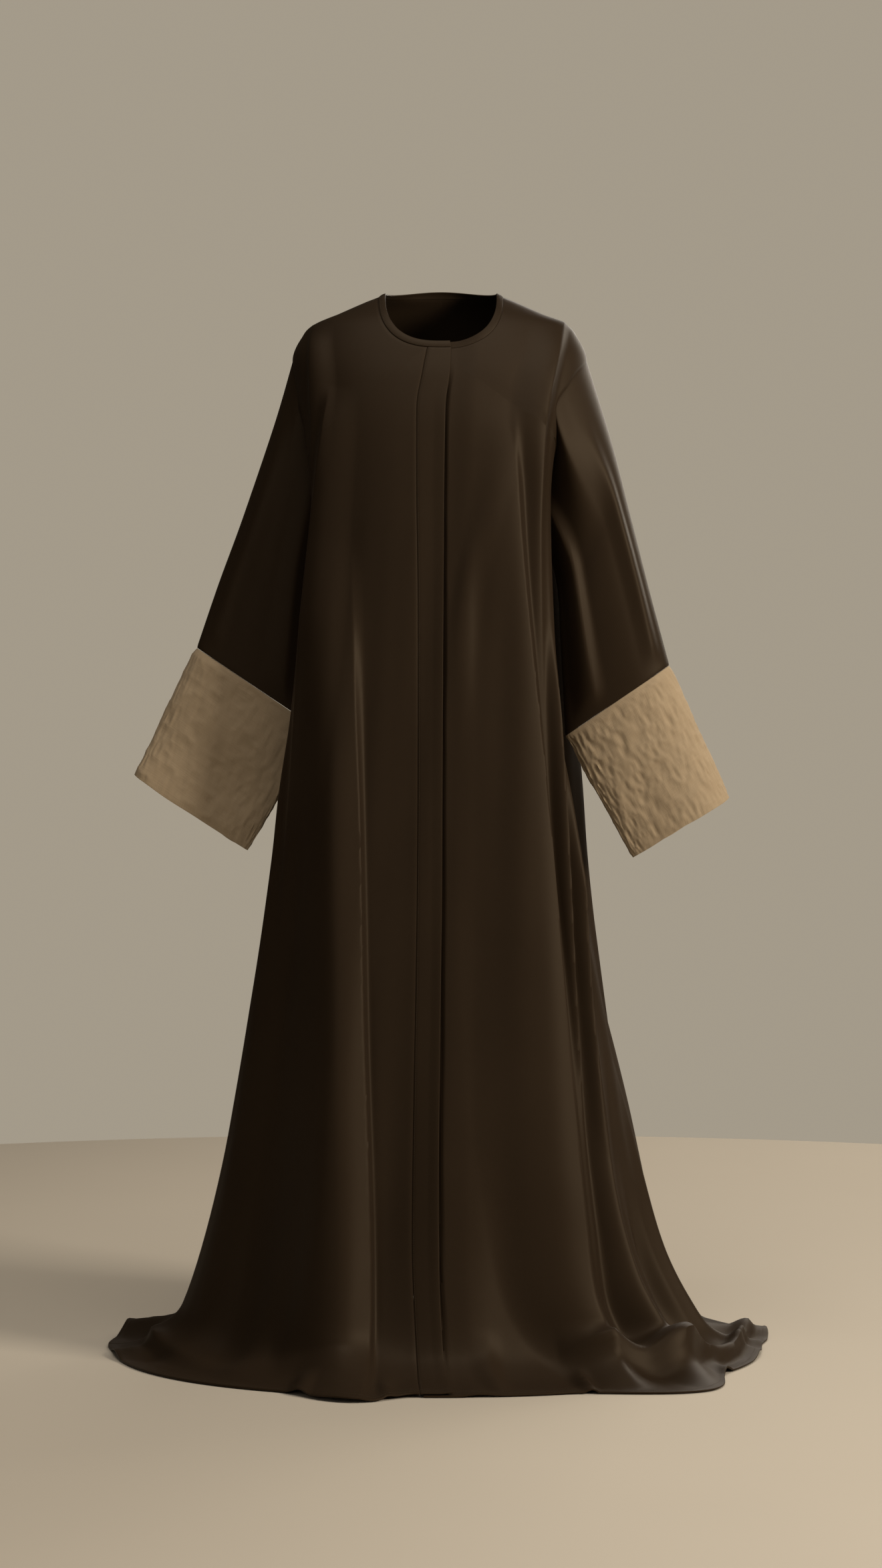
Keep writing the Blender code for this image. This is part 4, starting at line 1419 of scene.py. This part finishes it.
@dataclass
class Arm:
    """A wide sleeve and its linen cuff.

    Each row of the sleeve is a percentage of its length, the outer edge's x and z, the
    inner edge's x and z, the centre's y and half the depth. Turn 0 is the outer edge, 90
    the front and 180 the inner edge.
    """

    side: Side
    sleeve: Rows
    cuff_end: tuple[float, ...]
    folds: tuple[Fold, ...]
    crinkles: tuple[Crinkle, ...]
    pinch: float = 0.6
    tuck_depth: float = 0.0013
    tuck_share: float = 4.0
    fade_end: float = 0.45
    turns: int = 144
    sleeve_rows: int = 150
    cuff_turns: int = 176
    cuff_rows: int = 110
    edge_wander: float = 0.010
    edge_waves: int = 11
    folds_held: tuple[float, float] = (0.10, 0.90)
    crinkles_held: tuple[float, float] = (0.06, 0.94)
    pressed: float = 0.6

    def tube_point(self, table: SmoothTable, turn: np.ndarray, share: np.ndarray) -> np.ndarray:
        """Points of the flattened tube, without folds.

        Args:
            table: The tube's edges, centre and depth down it.
            turn: Degrees round the tube.
            share: 0 to 1 down it.

        Returns:
            The points, with a last axis of x, y and z.
        """
        outer_x, outer_z, inner_x, inner_z, y, half_depth = table.read(share)
        around = np.radians(turn)
        lean = 0.5 * (1.0 + np.cos(around))
        thick = half_depth * (1.0 - self.pinch * (1.0 - lean))
        return np.stack([self.side.value * (inner_x + (outer_x - inner_x) * lean),
                         y - thick * np.sin(around),
                         inner_z + (outer_z - inner_z) * lean], -1)

    def armhole_point(self, turn: np.ndarray) -> np.ndarray:
        """Points of the sleeve's top ring, tucked in under the armhole's edge.

        Args:
            turn: Degrees round the sleeve.

        Returns:
            The points, with a last axis of x, y and z.
        """
        seams, side = SEAMS, self.side.value
        behind = turn % 360.0 > 180.0
        share = 0.5 * (1.0 - np.cos(np.radians(turn)))
        fall = seams.underarm - seams.armhole_top - 2.0 * seams.gap
        drop = seams.armhole_top + seams.gap + fall * share
        angle = np.zeros_like(drop)
        for back in (False, True):
            tuck = self.tuck_share * SURFACE.gap_angle(drop, back)
            edge = SURFACE.armhole_angle(self.side, back, drop) + (side if back else -side) * tuck
            angle = np.where(behind == back, edge, angle)
        return SURFACE.point(angle, drop) - SURFACE.normal(angle, drop) * self.tuck_depth

    def sleeve_patch(self) -> Patch:
        """The sleeve's cloth, from its armhole to the cuff's seam."""
        table = SmoothTable(self.sleeve, ARM_UNITS)
        turn, share = np.meshgrid(np.linspace(0.0, 360.0, self.turns + 1) % 360.0,
                                  np.linspace(0.0, 1.0, self.sleeve_rows + 1))
        points = self.tube_point(table, turn, share)
        start = self.armhole_point(turn[0]) - points[0]
        points = points + start[None] * (1.0 - ease(0.0, self.fade_end, share))[..., None]
        out = grid_normals(points, True) * -self.side.value
        top, end = self.folds_held
        held = ease(0.0, top, share) * (1.0 - ease(end, 1.0, share))
        lift = sum(fold.reach(turn, share) for fold in self.folds) * held
        points = points + out * lift[..., None]
        ring = run_lengths(points, 0)
        groove = SEAMS.turned_down(np.minimum(ring, ring[-1:] - ring))
        return wall_patch(points, True, groove, SEAMS.cloth, -self.side.value)

    def cuff_patch(self) -> Patch:
        """The cuff's cloth, crinkled, with a turned edge that wanders a little."""
        top = self.sleeve[-1][1:]
        table = SmoothTable(((0.0, *top), (100.0, *self.cuff_end)), ARM_UNITS)
        fall = math.dist(top[:2], self.cuff_end[:2]) / MM
        turn, share = np.meshgrid(np.linspace(0.0, 360.0, self.cuff_turns + 1) % 360.0,
                                  np.linspace(2.0 * SEAMS.gap / fall, 1.0, self.cuff_rows + 1))
        seed = self.crinkles[0].seed + 50
        wander = Crinkle(self.edge_waves, 1, self.edge_wander, seed, ridged=False)
        run = share * (1.0 + wander.reach(turn, np.zeros_like(share)) * share - self.edge_wander)
        points = self.tube_point(table, turn, run)
        lift = sum(crinkle.reach(turn, share) for crinkle in self.crinkles)
        top, end = self.crinkles_held
        lift = lift * ease(0.0, top, share) * (1.0 - self.pressed * ease(end, 1.0, share))
        out = grid_normals(points, True) * -self.side.value
        points = points + out * lift[..., None]
        groove = SEAMS.turned_down(run_lengths(points, 0))
        return wall_patch(points, True, groove, SEAMS.cloth, -self.side.value)

    def make(self) -> None:
        """Make the sleeve and its cuff."""
        name = self.side.name.lower()
        SewnPiece(f"sleeve_{name}", [self.sleeve_patch()]).make()
        SewnPiece(f"cuff_{name}", [self.cuff_patch()], LINEN).make()


ARM_UNITS = (100.0, MM, MM, MM, MM, MM, MM)

RIGHT_ARM = Arm(
    Side.RIGHT,
    ((0, 205.6, -89.3, 160, -319.7, 3, 45),
     (25, 233, -185, 164, -385, 4, 44),
     (50, 275, -310, 166.5, -458, 5, 38),
     (75, 308.5, -401, 169, -532, 6, 31),
     (100, 339.2, -490.6, 172, -603, 7, 26)),
    (426.8, -669, 270, -774, 6, 22),
    (Fold(Course.TUBE, ((0, 104, 0, 22, 22), (30, 106, 5, 24, 20),
                         (70, 112, 6, 26, 16), (100, 116, 3, 26, 14)),
          upper=Flank.STEEP),
     Fold(Course.TUBE, ((10, 48, 0, 20, 22), (50, 44, 4, 20, 24),
                         (100, 42, 2, 20, 24))),
     Fold(Course.TUBE, ((10, 252, 0, 18, 24), (50, 250, 6, 14, 26),
                         (100, 248, 3, 14, 26)), lower=Flank.STEEP)),
    (Crinkle(96, 13, 0.00045, 11, 3.0), Crinkle(52, 8, 0.00055, 12, -2.0),
     Crinkle(8, 3, 0.00230, 13, 0.6, ridged=False)))

LEFT_ARM = Arm(
    Side.LEFT,
    ((0, 201.9, -89.3, 152, -319.7, -5, 45),
     (25, 233, -195, 161.5, -385, -12, 50),
     (50, 259, -298, 164, -460, -14, 50),
     (75, 287, -408, 168, -537, -12, 46),
     (100, 315.8, -515.6, 171.8, -613.3, -10, 42)),
    (400, -701, 267.5, -784, -12, 38),
    (Fold(Course.TUBE, ((0, 122, 0, 12, 34), (15, 122, 7, 11, 36),
                         (45, 116, 11, 11, 38), (80, 114, 9, 13, 38),
                         (100, 112, 4, 14, 38)), lower=Flank.STEEP),
     Fold(Course.TUBE, ((12, 54, 0, 14, 22), (35, 50, 6, 16, 20),
                         (70, 44, 8, 18, 18), (100, 42, 3, 18, 18)),
          upper=Flank.STEEP),
     Fold(Course.TUBE, ((5, 228, 0, 26, 16), (45, 232, 8, 28, 14),
                         (100, 236, 3, 28, 14)), upper=Flank.STEEP),
     Fold(Course.TUBE, ((20, 300, 0, 20, 20), (60, 304, 6, 22, 16),
                         (100, 306, 2, 22, 16)))),
    (Crinkle(104, 13, 0.00055, 21, -4.0), Crinkle(60, 9, 0.00070, 22, 3.0),
     Crinkle(9, 3, 0.00240, 23, -0.8, ridged=False)))


@dataclass(frozen=True)
class Lamp:
    """A square soft light."""

    name: str
    place: tuple[float, float, float]
    aim: tuple[float, float, float]
    size: float
    power: float
    color: Color

    def hang(self) -> None:
        """Put the light in its place, turned to its aim."""
        lamp = bpy.data.lights.new(self.name, "AREA")
        lamp.shape = "SQUARE"
        lamp.size = self.size
        lamp.energy = self.power
        lamp.color = self.color
        item = bpy.data.objects.new(self.name, lamp)
        item.location = self.place
        way = Vector(self.aim) - Vector(self.place)
        item.rotation_euler = way.to_track_quat("-Z", "Y").to_euler()
        bpy.context.scene.collection.objects.link(item)


LAMPS = (
    Lamp("key", (3.5, -2.4, 0.8), (0.0, 0.0, -0.7), 1.1, 174.0, (1.0, 0.92, 0.80)),
    Lamp("overhead", (0.2, -1.5, 3.1), (0.0, -0.2, -1.2), 2.4, 80.0, (1.0, 0.95, 0.88)),
    Lamp("fill", (-1.6, -4.0, 0.3), (0.0, 0.0, -0.8), 2.4, 16.0, (1.0, 0.95, 0.88)),
    Lamp("rim", (2.4, 2.6, 0.9), (0.1, 0.0, -0.7), 1.6, 26.0, (1.0, 0.90, 0.74)),
    Lamp("back", (1.5, 3.6, 1.3), (0.0, 0.0, -0.7), 2.2, 55.0, (1.0, 0.93, 0.84)),
)


@dataclass
class Studio:
    """A pale floor, soft lights and the camera."""

    lowest: float
    floor_gap: float = 0.0003
    distance: float = 4.3
    height: float = -0.68
    lens: float = 71.2
    sensor: float = 36.0
    floor_radius: float = 2.6
    room_light: float = 0.07
    floor_color: Color = (0.54, 0.475, 0.385)
    floor_shade: float = 0.95
    floor_clouds: float = 1.7
    floor_roughness: float = 0.85
    floor_gloss: float = 0.2
    room_color: Color = (0.37, 0.325, 0.255)

    def paint(self) -> bpy.types.Material:
        """The floor's matt paint, with a faint unevenness."""
        made = bpy.data.materials.new("Pale floor")
        made.use_nodes = True
        nodes = NodeTree(made.node_tree)
        shader = made.node_tree.nodes["Principled BSDF"]
        place = nodes.add("ShaderNodeNewGeometry").outputs["Position"]
        noise = nodes.add("ShaderNodeTexNoise", {"Vector": place, "Scale": self.floor_clouds})
        darker = tuple(self.floor_shade * part for part in self.floor_color)
        mixed = nodes.add("ShaderNodeMix", {0: noise.outputs[0], 6: (*darker, 1.0),
                                            7: (*self.floor_color, 1.0)},
                          data_type="RGBA").outputs[2]
        nodes.tree.links.new(mixed, shader.inputs["Base Color"])
        shader.inputs["Roughness"].default_value = self.floor_roughness
        shader.inputs["Specular IOR Level"].default_value = self.floor_gloss
        return made

    def floor(self) -> None:
        """A round floor just under the hem."""
        bpy.ops.mesh.primitive_circle_add(vertices=96, radius=self.floor_radius,
                                          fill_type="NGON",
                                          location=(0, 0, self.lowest - self.floor_gap))
        floor = bpy.context.object
        floor.name = "studio_floor"
        floor.data.materials.append(self.paint())
        floor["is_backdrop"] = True

    def room(self) -> None:
        """The even light of the room."""
        world = bpy.data.worlds.new("Plain room")
        world.use_nodes = True
        nodes = NodeTree(world.node_tree)
        seen = nodes.add("ShaderNodeLightPath").outputs["Is Camera Ray"]
        strength = nodes.math("ADD", nodes.math("MULTIPLY", seen, 1.0 - self.room_light),
                              self.room_light)
        sky = world.node_tree.nodes["Background"]
        sky.inputs[0].default_value = (*self.room_color, 1.0)
        world.node_tree.links.new(strength, sky.inputs[1])
        bpy.context.scene.world = world

    def camera(self) -> None:
        """The camera, level, straight in front of the abaya."""
        lens = bpy.data.cameras.new("Camera")
        lens.lens = self.lens
        lens.sensor_width = self.sensor
        item = bpy.data.objects.new("Camera", lens)
        item.location = (0.0, -self.distance, self.height)
        item.rotation_euler = (math.radians(90.0), 0.0, 0.0)
        bpy.context.scene.collection.objects.link(item)
        bpy.context.scene.camera = item

    def make(self) -> None:
        """Set the stage."""
        self.floor()
        self.room()
        for lamp in LAMPS:
            lamp.hang()
        self.camera()
        bpy.context.scene.view_settings.view_transform = "Standard"


def corners() -> list[list[float]]:
    """The lowest and highest corner of what shows, as plain lists."""
    return [[float(part) for part in corner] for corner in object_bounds()]


def main() -> None:
    """Build the abaya and its stage, in order."""
    logging.basicConfig(level=logging.INFO, format="%(message)s")
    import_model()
    cad_box = corners()
    Studio(cad_box[0][2]).make()
    fronts = Fronts()
    fronts.make()
    Back().make()
    NeckBinding(fronts).make()
    RIGHT_ARM.make()
    LEFT_ARM.make()
    LOG.info("abaya built")


if __name__ == "__main__":
    main()
